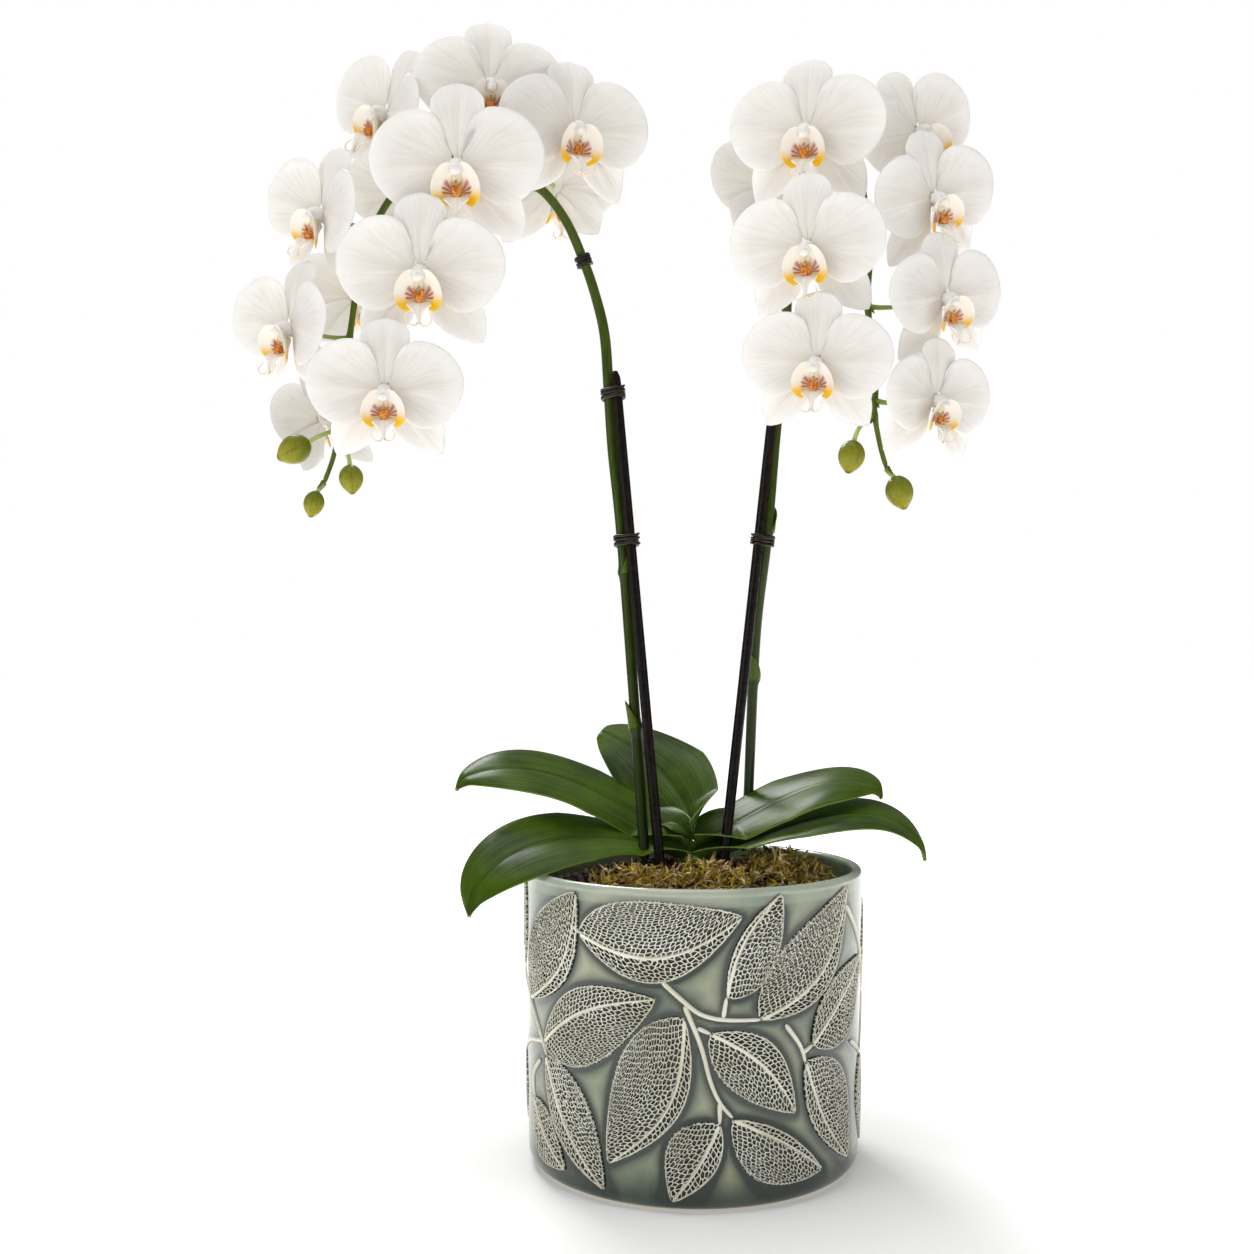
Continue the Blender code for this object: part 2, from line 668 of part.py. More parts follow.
def moss_mesh(name, middle, radii, height):
    """A low cushion of moss lying on the mix."""
    around, rings = 14, (0.5, 0.85, 1.0)
    reach = inner_radius(MIX_EDGE)
    middle = (middle[0] * reach, middle[1] * reach)
    along_x, along_y = radii[0] * reach, radii[1] * reach

    def build(bm):
        layers = []
        for top in (False, True):
            def level(x, y, share):
                lift = height * (1 - share**2.2) + MOSS_EDGE if top else 0.0
                return mix_top(x, y) + CLEARANCE + MOSS_LIFT + lift
            centre = bm.verts.new((*middle, level(*middle, 0.0)))
            rows = []
            for share in rings:
                row = []
                for i in range(around):
                    a = 2 * math.pi * i / around
                    x = middle[0] + along_x * share * math.cos(a)
                    y = middle[1] + along_y * share * math.sin(a)
                    row.append(bm.verts.new((x, y, level(x, y, share))))
                rows.append(row)
            layers.append(rows)
            for i in range(around):
                j = (i + 1) % around
                bm.faces.new((centre, rows[0][i], rows[0][j]))
                for inner, outer in zip(rows, rows[1:]):
                    bm.faces.new((inner[i], outer[i], outer[j], inner[j]))
        low, high = layers[0][-1], layers[1][-1]
        for i in range(around):
            j = (i + 1) % around
            bm.faces.new((low[i], low[j], high[j], high[i]))

    return mesh_from(name, build)


# ---------------------------------------------------------------- the whole object
def build_all():
    clear_scene()
    glaze = material("celadon_glaze", (0.30, 0.38, 0.33), 0.2)
    bark = material("potting_bark", (0.07, 0.04, 0.02), 0.95)
    leaf_green = material("leaf_green", (0.05, 0.13, 0.03), 0.35)
    stem_green = material("stem_green", (0.06, 0.14, 0.02), 0.45)
    petal_white = material("petal_white", (0.85, 0.84, 0.82), 0.5)
    bud_green = material("bud_green", (0.30, 0.36, 0.06), 0.45)
    cane_brown = material("cane_brown", (0.03, 0.02, 0.015), 0.6)
    tie_brown = material("tie_brown", (0.05, 0.025, 0.01), 0.5)
    moss_gold = material("moss_gold", (0.30, 0.24, 0.06), 0.95)

    object_of("pot", pot_mesh(), glaze)

    mix = object_of("potting_mix", mix_mesh(), bark)
    crown_hole = object_of("crown_hole", lathe("crown_hole", crown_profile(CLEARANCE), 16), helper=True)
    boolean(mix, "DIFFERENCE", crown_hole)
    for name in CANES:
        hole = object_of(name + "_hole", cane_mesh(name, CLEARANCE), helper=True)
        boolean(mix, "DIFFERENCE", hole)
        object_of(name, cane_mesh(name), cane_brown)
    object_of("crown_and_roots", lathe("crown_and_roots", crown_profile(0.0), 16), leaf_green)

    shared = flower_mesh()
    for side, points in (("left", LEFT_SPIKE), ("right", RIGHT_SPIKE)):
        line, radii = spike_line(points)
        object_of(f"flower_spike_{side}", tube_mesh(f"flower_spike_{side}", line, radii, 6), stem_green)
        for name in FLOWERS:
            if f"_{side}_" in name:
                add_flower(name, shared, line, radii, petal_white)
        for name in BUDS:
            if f"_{side}_" in name:
                add_bud(name, line, radii, bud_green)

    for name, leaf in LEAVES.items():
        object_of(name, leaf_mesh(name, leaf), leaf_green)
    for name, (height, spike, cane) in TIES.items():
        object_of(name, tie_mesh(name, height, spike, cane), tie_brown)
    for name, (middle, radii, height) in MOSS.items():
        object_of(name, moss_mesh(name, middle, radii, height), moss_gold)


build_all()
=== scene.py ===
"""The looks of a potted moth orchid: glazed pot, mix and moss, leaves, spikes, flowers.

Metres, +Z up. The origin is the middle of the pot's flat base, and -Y is the front.
"""

import json
import math
import random
import bpy
import numpy as np
from mathutils import Matrix, Vector, noise

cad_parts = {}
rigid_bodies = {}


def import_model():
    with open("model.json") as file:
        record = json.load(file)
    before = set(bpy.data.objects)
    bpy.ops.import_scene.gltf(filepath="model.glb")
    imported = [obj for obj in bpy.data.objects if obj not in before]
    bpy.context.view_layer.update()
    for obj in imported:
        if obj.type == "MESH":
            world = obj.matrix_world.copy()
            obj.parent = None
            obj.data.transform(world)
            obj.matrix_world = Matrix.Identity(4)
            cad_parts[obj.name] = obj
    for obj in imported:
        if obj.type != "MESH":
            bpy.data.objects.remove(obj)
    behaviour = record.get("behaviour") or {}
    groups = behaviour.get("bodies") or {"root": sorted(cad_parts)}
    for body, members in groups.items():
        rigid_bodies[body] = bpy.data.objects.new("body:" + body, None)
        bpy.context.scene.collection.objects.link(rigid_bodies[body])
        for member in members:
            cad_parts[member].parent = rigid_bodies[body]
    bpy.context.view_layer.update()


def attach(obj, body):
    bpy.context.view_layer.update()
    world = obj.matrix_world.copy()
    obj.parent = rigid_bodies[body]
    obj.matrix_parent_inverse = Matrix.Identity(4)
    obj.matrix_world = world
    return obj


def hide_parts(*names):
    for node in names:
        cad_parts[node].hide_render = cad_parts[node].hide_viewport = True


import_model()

rng = np.random.default_rng(7)
random.seed(7)

# ---------------------------------------------------------------- sizes
POT_RADIUS = 0.095
POT_TAPER = 0.0025
POT_HEIGHT = 0.165
POT_WALL = 0.006
POT_FLOOR = 0.009
POT_CORNER = 0.009
MIX_EDGE = 0.150
MIX_CROWNING = 0.016
CROWN_RADIUS = 0.0115
SPIKE_BASE_RADIUS = 0.0030
SPIKE_TIP_RADIUS = 0.0013
PEDICEL_RADIUS = 0.0012
CANE_RADIUS = 0.0029
CANE_DEPTH = 0.012  # how far the modelled cane goes into the mix
CANE_GAP = 0.0010
LEAF_THICKNESS = 0.0020
FLOWER_SPAN = 0.085
TIE_WIRE_RADIUS = 0.00092
# how far along each spike its two bare joints are, from the foot
SPIKE_JOINTS = {"left": (0.075, 0.165), "right": (0.10, 0.19)}

LEFT_SPIKE = [
    (-0.0275, -0.014, 0.003), (-0.0318, -0.005, 0.070), (-0.0402, 0.005, 0.183),
    (-0.0455, 0.011, 0.235), (-0.0480, 0.0155, 0.272), (-0.0503, 0.0170, 0.303),
    (-0.0557, 0.0155, 0.326), (-0.0627, 0.0130, 0.346), (-0.0725, 0.008, 0.367),
    (-0.0867, 0.004, 0.384), (-0.109, 0.001, 0.398), (-0.132, 0.001, 0.403),
    (-0.155, 0.002, 0.395), (-0.175, 0.002, 0.373), (-0.188, 0.002, 0.342),
    (-0.1935, 0.001, 0.308), (-0.197, 0.000, 0.280), (-0.200, 0.000, 0.252),
    (-0.2035, 0.000, 0.232), (-0.209, 0.000, 0.216),
]
RIGHT_SPIKE = [
    (0.0315, 0.032, 0.003), (0.0337, 0.029, 0.033), (0.0372, 0.020, 0.127),
    (0.0430, 0.0125, 0.184), (0.0486, 0.0192, 0.243), (0.0522, 0.0224, 0.275),
    (0.0550, 0.0232, 0.307), (0.0573, 0.0220, 0.347), (0.0614, 0.0180, 0.388),
    (0.0668, 0.012, 0.413), (0.0750, 0.000, 0.422), (0.0844, -0.013, 0.413),
    (0.0901, -0.021, 0.391), (0.0936, -0.026, 0.365), (0.0955, -0.029, 0.337),
    (0.0945, -0.031, 0.309), (0.0985, -0.033, 0.270), (0.0975, -0.034, 0.252),
    (0.1004, -0.035, 0.233), (0.1040, -0.035, 0.220),
]
# name: spike, start in the mix, side of the spike, tie height, top
CANES = {
    "cane_left": (LEFT_SPIKE, (-0.0183, -0.019, -0.005), -45, 0.183, 0.281),
    "cane_right": (RIGHT_SPIKE, (0.0160, -0.0115, -0.005), 225, 0.184, 0.281),
}
TIES = {
    "tie_left_lower": (0.183, LEFT_SPIKE, "cane_left"),
    "tie_left_upper": (0.268, LEFT_SPIKE, "cane_left"),
    "tie_left_top": (0.345, LEFT_SPIKE, None),
    "tie_right_lower": (0.184, RIGHT_SPIKE, "cane_right"),
    "tie_right_upper": (0.269, RIGHT_SPIKE, "cane_right"),
}
# name: throat, size, turn to the right, tilt up, roll clockwise
FLOWERS = {
    "flower_left_01": ((-0.066, -0.022, 0.409), 1.06, 24, 0, 0),
    "flower_left_02": ((-0.113, -0.024, 0.432), 1.00, 12, 2, 0),
    "flower_left_03": ((-0.174, -0.004, 0.424), 0.99, -42, 5, 32),
    "flower_left_04": ((-0.128, -0.050, 0.380), 1.12, 0, -8, 0),
    "flower_left_05": ((-0.2085, -0.012, 0.365), 0.99, -40, 0, 20),
    "flower_left_06": ((-0.147, -0.056, 0.322), 1.08, 0, -8, 0),
    "flower_left_07": ((-0.225, -0.018, 0.300), 1.00, -40, 0, 12),
    "flower_left_08": ((-0.165, -0.062, 0.258), 0.99, 3, -8, 0),
    "flower_left_09": ((-0.218, 0.036, 0.257), 0.85, -130, -5, 10),
    "flower_left_10": ((-0.079, 0.040, 0.395), 1.00, 160, -5, 0),
    "flower_left_11": ((-0.200, 0.046, 0.331), 0.94, -150, -5, 0),
    "flower_left_12": ((-0.165, 0.052, 0.395), 0.99, -165, 5, 0),
    "flower_right_01": ((0.060, -0.040, 0.402), 1.04, -18, -4, 2),
    "flower_right_02": ((0.058, -0.060, 0.334), 1.01, -18, -8, 0),
    "flower_right_03": ((0.062, -0.066, 0.272), 0.96, -18, -8, 4),
    "flower_right_04": ((0.046, 0.044, 0.397), 0.94, -155, 0, 0),
    "flower_right_05": ((0.124, -0.024, 0.407), 0.94, 28, 0, -32),
    "flower_right_06": ((0.128, -0.046, 0.364), 0.94, 26, -6, -15),
    "flower_right_07": ((0.133, -0.052, 0.309), 0.91, 26, -6, -10),
    "flower_right_08": ((0.127, -0.056, 0.254), 0.86, 30, -6, 0),
}
# name: middle, length, width, the way its tip points
BUDS = {
    "bud_left_1": ((-0.225, -0.005, 0.234), 0.0200, 0.0170, (-0.85, -0.15, -0.5)),
    "bud_left_2": ((-0.192, -0.010, 0.217), 0.0165, 0.0140, (0.1, -0.1, -1.0)),
    "bud_left_3": ((-0.215, 0.000, 0.204), 0.0150, 0.0120, (-0.25, 0.0, -1.0)),
    "bud_right_1": ((0.084, -0.040, 0.226), 0.0180, 0.0150, (-0.2, -0.1, -1.0)),
    "bud_right_2": ((0.111, -0.036, 0.207), 0.0185, 0.0155, (0.3, 0.0, -1.0)),
}
# name: angle and height of its foot, place near the foot, two near the tip, width, roll, fold,
# and how far along it begins to narrow
LEAVES = {
    "leaf_left_lower": (164, 0.008, (-0.042, 0.006, 0.023), (-1.18, -0.46, 0.025), (-1.28, -0.56, -0.017),
                        0.053, 24, 12, 0.45),
    "leaf_left_upper": (125, 0.016, (-0.036, 0.034, 0.025), (-0.95, 0.17, 0.069), (-1.41, -0.02, 0.046),
                        0.058, 24, 10, 0.45),
    "leaf_back": (85, 0.021, (0.004, 0.034, 0.036), (-0.36, 0.60, 0.066), (-0.58, 0.72, 0.071),
                  0.062, 38, 8, 0.12),
    "leaf_right_upper": (39, 0.017, (0.034, 0.008, 0.025), (0.84, 0.02, 0.059), (1.12, -0.06, 0.042),
                         0.058, -20, 8, 0.42),
    "leaf_right_lower": (4, 0.007, (0.045, -0.006, 0.017), (1.10, -0.23, 0.052), (1.33, -0.32, 0.010),
                         0.048, -15, 12, 0.40),
}
# name: middle and radii in shares of the mix's radius, and height
MOSS = {
    "moss_left": ((-0.39, -0.51), (0.25, 0.19), 0.006),
    "moss_front": ((0.10, -0.53), (0.22, 0.20), 0.006),
    "moss_right": ((0.60, -0.16), (0.27, 0.36), 0.010),
}

# The relief on the pot's front and sides: each leaf's base and tip as (degrees round from
# the front, millimetres up), how far its two sides swell and how far its midrib bends.
RELIEF_LEAVES = [
    ((-71, 96), (-42, 160), 22, 21, -14),
    ((-41, 139), (13, 151), 15, 28, -15),
    ((8, 110), (26, 162), 9, 16, 6),
    ((19, 98), (57, 160), 16, 23, -13),
    ((39, 81), (71, 120), 16, 20, 2),
    ((-60, 76), (-14, 109), 20, 20, 7),
    ((-5, 100), (-30, 22), 21, 20, 14),
    ((3, 92), (32, 48), 18, 14, 6),
    ((36, 73), (60, 14), 22, 14, -6),
    ((6, 46), (-9, 6), 11, 18, 2),
    ((10, 48), (44, 15), 7, 21, 2),
    ((-59, 69), (-32, 8), 17, 15, -5),
    ((-70, 42), (-49, 12), 10, 18, -2),
    ((-92, 108), (-79, 160), 12, 12, 4),
    ((84, 96), (92, 154), 14, 14, 5),
    ((-88, 62), (-98, 14), 13, 13, 3),
    ((76, 64), (84, 12), 12, 15, 4),
    ((92, 62), (99, 13), 10, 10, 2),
    ((101, 102), (105, 158), 9, 8, 1),
    ((-104, 64), (-111, 12), 10, 10, 2),
    ((-110, 128), (-104, 161), 9, 9, 2),
]
RELIEF_BRANCHES = [
    [(-12, 118), (-5, 108), (0, 102), (7, 99), (19, 98)],
    [(-5, 106), (0, 86), (3, 68), (6, 57), (10, 49)],
    [(6, 57), (6, 46)],
    [(-1, 95), (3, 92)],
    [(7, 100), (8, 110)],
    [(28, 94), (33, 84), (35, 78), (36, 73)],
    [(35, 78), (39, 81)],
    [(-73, 96), (-67, 86), (-62, 76), (-59, 69)],
    [(-45, 143), (-41, 139)],
    [(57, 150), (70, 128), (84, 96)],
    [(-71, 96), (-79, 102), (-92, 108)],
    [(-62, 76), (-74, 72), (-88, 62)],
    [(-64, 65), (-71, 54), (-70, 42)],
    [(62, 76), (76, 64)],
    [(84, 96), (80, 80), (76, 64)],
]
FRONT_LEAVES = 13  # the front's leaves are the first ones in the list
QUARTERS = ("front", "right", "back", "left")
RELIEF_HEIGHT = 0.0011
RELIEF_GRID = 0.55  # millimetres between points of a relief leaf
NET_CELL = 2.9  # millimetres from one pit of the netted leaves to the next
NET_RANDOMNESS = 0.72  # how far the pits stray from an even grid
WALL_STEPS = 122  # levels on the outside of the pot's wall
POT_COLUMNS = 450  # points round the pot


# ---------------------------------------------------------------- gathering meshes
class Piece:
    """Points, faces and a mark at every point, gathered for one mesh."""

    def __init__(self):
        self.points, self.faces, self.finish, self.marks = [], [], [], []
        self.count = 0

    def add(self, points, faces, marks=None, finish=0):
        points = np.asarray(points, float).reshape(-1, 3)
        marks = np.zeros_like(points) if marks is None else np.asarray(marks, float).reshape(-1, 3)
        self.points.append(points)
        self.marks.append(marks)
        self.faces += [[i + self.count for i in face] for face in faces]
        self.finish += [finish] * len(faces)
        self.count += len(points)

    def mesh(self, name, finishes):
        mesh = bpy.data.meshes.new(name)
        mesh.from_pydata(np.concatenate(self.points).tolist(), [], self.faces)
        for finish in finishes:
            mesh.materials.append(finish)
        mesh.polygons.foreach_set("material_index", self.finish)
        mark = mesh.attributes.new("mark", "FLOAT_VECTOR", "POINT")
        mark.data.foreach_set("vector", np.concatenate(self.marks).ravel())
        mesh.shade_smooth()
        mesh.update()
        return mesh

    def make(self, name, finishes, slot, *nodes):
        return stand(object_of(name, self.mesh(name, finishes)), slot, *nodes)


def object_of(name, data):
    obj = bpy.data.objects.new(name, data)
    bpy.context.scene.collection.objects.link(obj)
    return obj


def stand(obj, slot, *nodes):
    """The piece rides on the body and stands for its CAD nodes."""
    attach(obj, "root")
    if nodes:
        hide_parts(*nodes)
    return obj


def unit(vectors):
    return vectors / np.maximum(np.linalg.norm(vectors, axis=-1, keepdims=True), 1e-12)


def grid_faces(rows, cols, wrap=False, start=0):
    """Quads between rows of points, joined round to the first column if it wraps."""
    last = cols if wrap else cols - 1
    faces = []
    for i in range(rows - 1):
        for j in range(last):
            k = (j + 1) % cols
            a, b = start + i * cols, start + (i + 1) * cols
            faces.append((a + j, b + j, b + k, a + k))
    return faces


def closed_sheet(middle, thickness):
    """Points and faces of a thin closed shell round a grid of points."""
    rows, cols = middle.shape[:2]
    normal = unit(np.cross(np.gradient(middle, axis=0), np.gradient(middle, axis=1)))
    offset = normal * (np.asarray(thickness, float)[..., None] / 2)
    points = np.concatenate([(middle + offset).reshape(-1, 3), (middle - offset).reshape(-1, 3)])
    under = rows * cols
    faces = grid_faces(rows, cols)
    faces += [face[::-1] for face in grid_faces(rows, cols, start=under)]
    loop = list(range(cols)) + [i * cols + cols - 1 for i in range(1, rows)]
    loop += [(rows - 1) * cols + j for j in range(cols - 2, -1, -1)]
    loop += [i * cols for i in range(rows - 2, 0, -1)]
    for a, b in zip(loop, loop[1:] + loop[:1]):
        faces.append((a, b, b + under, a + under))
    return points, faces


def tube(line, radii, sides=12, wobble=None):
    """Points and faces of a closed round tube along a line, and each point's place along it."""
    line = np.asarray(line, float)
    along = unit(np.gradient(line, axis=0))
    side = np.zeros_like(along)
    first = np.cross(along[0], (0.31, 0.52, 0.79))
    side[0] = first / np.linalg.norm(first)
    for i in range(1, len(line)):
        carried = side[i - 1] - along[i] * np.dot(side[i - 1], along[i])
        side[i] = carried / np.linalg.norm(carried)
    other = np.cross(along, side)
    angle = np.linspace(0, 2 * math.pi, sides, endpoint=False)
    radii = np.broadcast_to(np.asarray(radii, float), len(line))[:, None] * np.ones(sides)
    if wobble is not None:
        radii = radii * wobble
    rings = line[:, None] + radii[..., None] * (
        side[:, None] * np.cos(angle)[None, :, None] + other[:, None] * np.sin(angle)[None, :, None])
    faces = grid_faces(len(line), sides, wrap=True)
    faces.append(tuple(range(sides))[::-1])
    faces.append(tuple((len(line) - 1) * sides + j for j in range(sides)))
    share = np.linspace(0, 1, len(line))
    marks = np.stack(np.broadcast_arrays(share[:, None], (angle / (2 * math.pi))[None], 0.0), -1)
    return rings.reshape(-1, 3), faces, marks.reshape(-1, 3)


def rounded(radii, ends=3):
    """Radii that close in to a dome at both ends."""
    radii = np.array(radii, float)
    for i in range(ends):
        close = math.sqrt(1 - (1 - (i + 0.25) / ends) ** 2)
        radii[i] *= close
        radii[-1 - i] *= close
    return radii


def smooth_line(points, step):
    """Points about a step apart on a Catmull-Rom curve through the given points."""
    ends = [2 * Vector(points[0]) - Vector(points[1])]
    ends += [Vector(p) for p in points]
    ends.append(2 * Vector(points[-1]) - Vector(points[-2]))
    line = []
    for before, a, b, after in zip(ends, ends[1:], ends[2:], ends[3:]):
        count = max(1, round((b - a).length / step))
        for i in range(count):
            t = i / count
            line.append(0.5 * (2 * a + (b - before) * t + (2 * before - 5 * a + 4 * b - after) * t**2
                               + (3 * a - before - 3 * b + after) * t**3))
    line.append(Vector(points[-1]))
    return line


def bezier(points, t):
    a, b, c, d = points
    place = a * (1 - t) ** 3 + b * 3 * t * (1 - t) ** 2 + c * 3 * t**2 * (1 - t) + d * t**3
    along = (b - a) * (1 - t) ** 2 + (c - b) * 2 * t * (1 - t) + (d - c) * t**2
    return place, along.normalized()


def over_rim(place):
    return Vector((place[0], place[1], POT_HEIGHT + place[2]))


def place_at_height(line, height):
    for a, b in zip(line, line[1:]):
        if a.z <= height <= b.z:
            return a + (b - a) * ((height - a.z) / (b.z - a.z)), (b - a).normalized()
    raise ValueError(f"the line doesn't pass {height}")


def smoothstep(low, high, value):
    t = np.clip((value - low) / (high - low), 0, 1)
    return t * t * (3 - 2 * t)


# ---------------------------------------------------------------- materials
def hex_colour(code):
    """An sRGB hex colour as the linear colour that a shader takes."""
    parts = [int(code[i : i + 2], 16) / 255 for i in (1, 3, 5)]
    return (*[p / 12.92 if p <= 0.04045 else ((p + 0.055) / 1.055) ** 2.4 for p in parts], 1.0)


def node(tree, kind, inputs=None, **settings):
    """Adds a node, sets its settings, and feeds its inputs from sockets or plain values."""
    made = tree.nodes.new(kind)
    for name, value in settings.items():
        setattr(made, name, value)
    for key, value in (inputs or {}).items():
        if isinstance(value, bpy.types.NodeSocket):
            tree.links.new(value, made.inputs[key])
        else:
            made.inputs[key].default_value = value
    return made


def finish_of(name, **constants):
    """A new material, its node tree and its shader, with the constants set on the shader."""
    made = bpy.data.materials.new(name)
    made.use_nodes = True
    shader = made.node_tree.nodes["Principled BSDF"]
    for key, value in constants.items():
        shader.inputs[key.replace("_", " ")].default_value = value
    return made, made.node_tree, shader


def layered(tree, colour, *layers):
    """The colour with each layer's hex colour laid over it, as much as that layer's share."""
    for share, code in layers:
        mixed = node(tree, "ShaderNodeMix", {0: share, 6: colour, 7: hex_colour(code)}, data_type="RGBA")
        colour = mixed.outputs[2]
    return colour


def dress(tree, shader, colour, height, depth, strength):
    """Gives the shader its colour, and a relief of this depth that follows the height."""
    bump = node(tree, "ShaderNodeBump", {"Height": height, "Distance": depth, "Strength": strength})
    tree.links.new(colour, shader.inputs["Base Color"])
    tree.links.new(bump.outputs[0], shader.inputs["Normal"])


def glaze_finish(name, netted):
    """Celadon stoneware glaze, dipped and fired: glassy, thin and pale on every high place,
    and deep green where it pools at the foot of the relief and in the pits of the net."""
    made, tree, shader = finish_of(name, Roughness=0.22, IOR=1.5, Coat_Weight=0.35, Coat_Roughness=0.08)
    where = node(tree, "ShaderNodeTexCoord").outputs["Object"]
    mark = node(tree, "ShaderNodeAttribute", attribute_name="mark").outputs["Vector"]
    parts = node(tree, "ShaderNodeSeparateXYZ", {0: mark}).outputs
    # clouds of colour 35 mm across, and specks of 1.6 mm
    cloud = node(tree, "ShaderNodeTexNoise", {"Vector": where, "Scale": 1 / 0.035, "Detail": 4.0}).outputs[0]
    speck = node(tree, "ShaderNodeTexNoise", {"Vector": where, "Scale": 1 / 0.0016, "Detail": 3.0}).outputs[0]
    tint = node(tree, "ShaderNodeMapRange", {0: cloud, 1: 0.36, 2: 0.66}).outputs[0]
    if netted:
        net = node(tree, "ShaderNodeTexVoronoi", {"Vector": mark, "Scale": 1.0, "Randomness": NET_RANDOMNESS},
                   voronoi_dimensions="2D", feature="DISTANCE_TO_EDGE").outputs["Distance"]
        wall = node(tree, "ShaderNodeMapRange", {0: net, 1: 0.085, 2: 0.145, 3: 1.0, 4: 0.0},
                    interpolation_type="SMOOTHSTEP").outputs[0]
        top = node(tree, "ShaderNodeMath", {0: wall, 1: parts["Z"]}, operation="MAXIMUM").outputs[0]
        cream = layered(tree, hex_colour("#dcd8c0"), (tint, "#f6f3e3"))
        pits = layered(tree, hex_colour("#0d1611"), (speck, "#1f2d22"))
        colour = node(tree, "ShaderNodeMix", {0: top, 6: pits, 7: cream}, data_type="RGBA").outputs[2]
        rough = node(tree, "ShaderNodeMapRange", {0: top, 3: 0.2, 4: 0.42}).outputs[0]
        tree.links.new(rough, shader.inputs["Roughness"])
        dress(tree, shader, colour, top, 0.0005, 0.6)
    else:
        # the mark says how dark the glaze is (where it pools, towards the bottom, and in painted shade inside
        # under the rim), how thin it is, and where the clay is bare
        colour = layered(tree, hex_colour("#70826a"), (tint, "#b1b395"), (parts["X"], "#1b2c20"),
                         (parts["Y"], "#c3cbbd"), (parts["Z"], "#d8ccb2"))
        dress(tree, shader, colour, speck, 0.00006, 0.6)
    return made


def leaf_finish():
    """A living orchid leaf: thick, waxy and deep green, faintly streaked along its length,
    with painted shade in the furrow over the midrib, a thin yellow-green edge and a paler underside."""
    made, tree, shader = finish_of("waxy_leaf", Roughness=0.3, IOR=1.4, Specular_IOR_Level=0.2,
                                   Subsurface_Weight=0.05, Subsurface_Scale=0.002)
    where = node(tree, "ShaderNodeTexCoord").outputs["Object"]
    mark = node(tree, "ShaderNodeAttribute", attribute_name="mark").outputs["Vector"]
    parts = node(tree, "ShaderNodeSeparateXYZ", {0: mark}).outputs
    # 1.2 mm between the veins of a leaf some 50 mm wide, and streaks a third of a leaf long
    lanes = node(tree, "ShaderNodeMapping", {0: mark, 3: (2.5, 22.0, 1.0)}).outputs[0]
    streak = node(tree, "ShaderNodeTexNoise", {"Vector": lanes, "Scale": 1.0, "Detail": 3.0}).outputs[0]
    cloud = node(tree, "ShaderNodeTexNoise", {"Vector": where, "Scale": 1 / 0.03, "Detail": 3.0}).outputs[0]
    both = node(tree, "ShaderNodeMath", {0: streak, 1: cloud}, operation="ADD").outputs[0]
    shade = node(tree, "ShaderNodeMapRange", {0: both, 1: 0.75, 2: 1.25}).outputs[0]
    across = node(tree, "ShaderNodeMath", {0: parts["Y"]}, operation="ABSOLUTE").outputs[0]
    # painted shade darkens the furrow over the midrib
    painted_midrib_shade = node(tree, "ShaderNodeMapRange", {0: across, 1: 0.012, 2: 0.05, 3: 0.4, 4: 0.0}).outputs[0]
    edge = node(tree, "ShaderNodeMapRange", {0: across, 1: 0.955, 2: 1.0, 3: 0.0, 4: 0.8}).outputs[0]
    ripe = node(tree, "ShaderNodeMapRange", {0: parts["X"], 1: 0.985, 2: 1.0, 3: 0.0, 4: 0.85}).outputs[0]
    colour = layered(tree, hex_colour("#1c3302"), (shade, "#4d680b"), (painted_midrib_shade, "#152c08"), (edge, "#7f9a3c"),
                     (ripe, "#a8963e"), (parts["Z"], "#6f8f4a"))
    dress(tree, shader, colour, both, 0.0004, 0.35)
    return made


def skin_finish(name, low, high, tint, roughness=0.42):
    """A smooth plant skin, such as a spike's or a bud's: waxy green, lengthwise streaked, and
    ripening from the low colour to the high one along the piece."""
    made, tree, shader = finish_of(name, Roughness=roughness, IOR=1.45, Specular_IOR_Level=0.3,
                                   Subsurface_Weight=0.08, Subsurface_Scale=0.002)
    where = node(tree, "ShaderNodeTexCoord").outputs["Object"]
    mark = node(tree, "ShaderNodeAttribute", attribute_name="mark").outputs["Vector"]
    parts = node(tree, "ShaderNodeSeparateXYZ", {0: mark}).outputs
    # streaks about 1 mm apart and 10 mm long on the skin
    stretched = node(tree, "ShaderNodeMapping", {0: where, 3: (1000.0, 1000.0, 100.0)}).outputs[0]
    streak = node(tree, "ShaderNodeTexNoise", {"Vector": stretched, "Scale": 0.7, "Detail": 2.0}).outputs[0]
    amount = node(tree, "ShaderNodeMapRange", {0: streak, 1: 0.35, 2: 0.75, 3: 0.0, 4: 0.5}).outputs[0]
    colour = layered(tree, hex_colour(low), (parts["X"], high), (amount, tint), (parts["Z"], "#5d4a1e"))
    dress(tree, shader, colour, streak, 0.0002, 0.3)
    return made


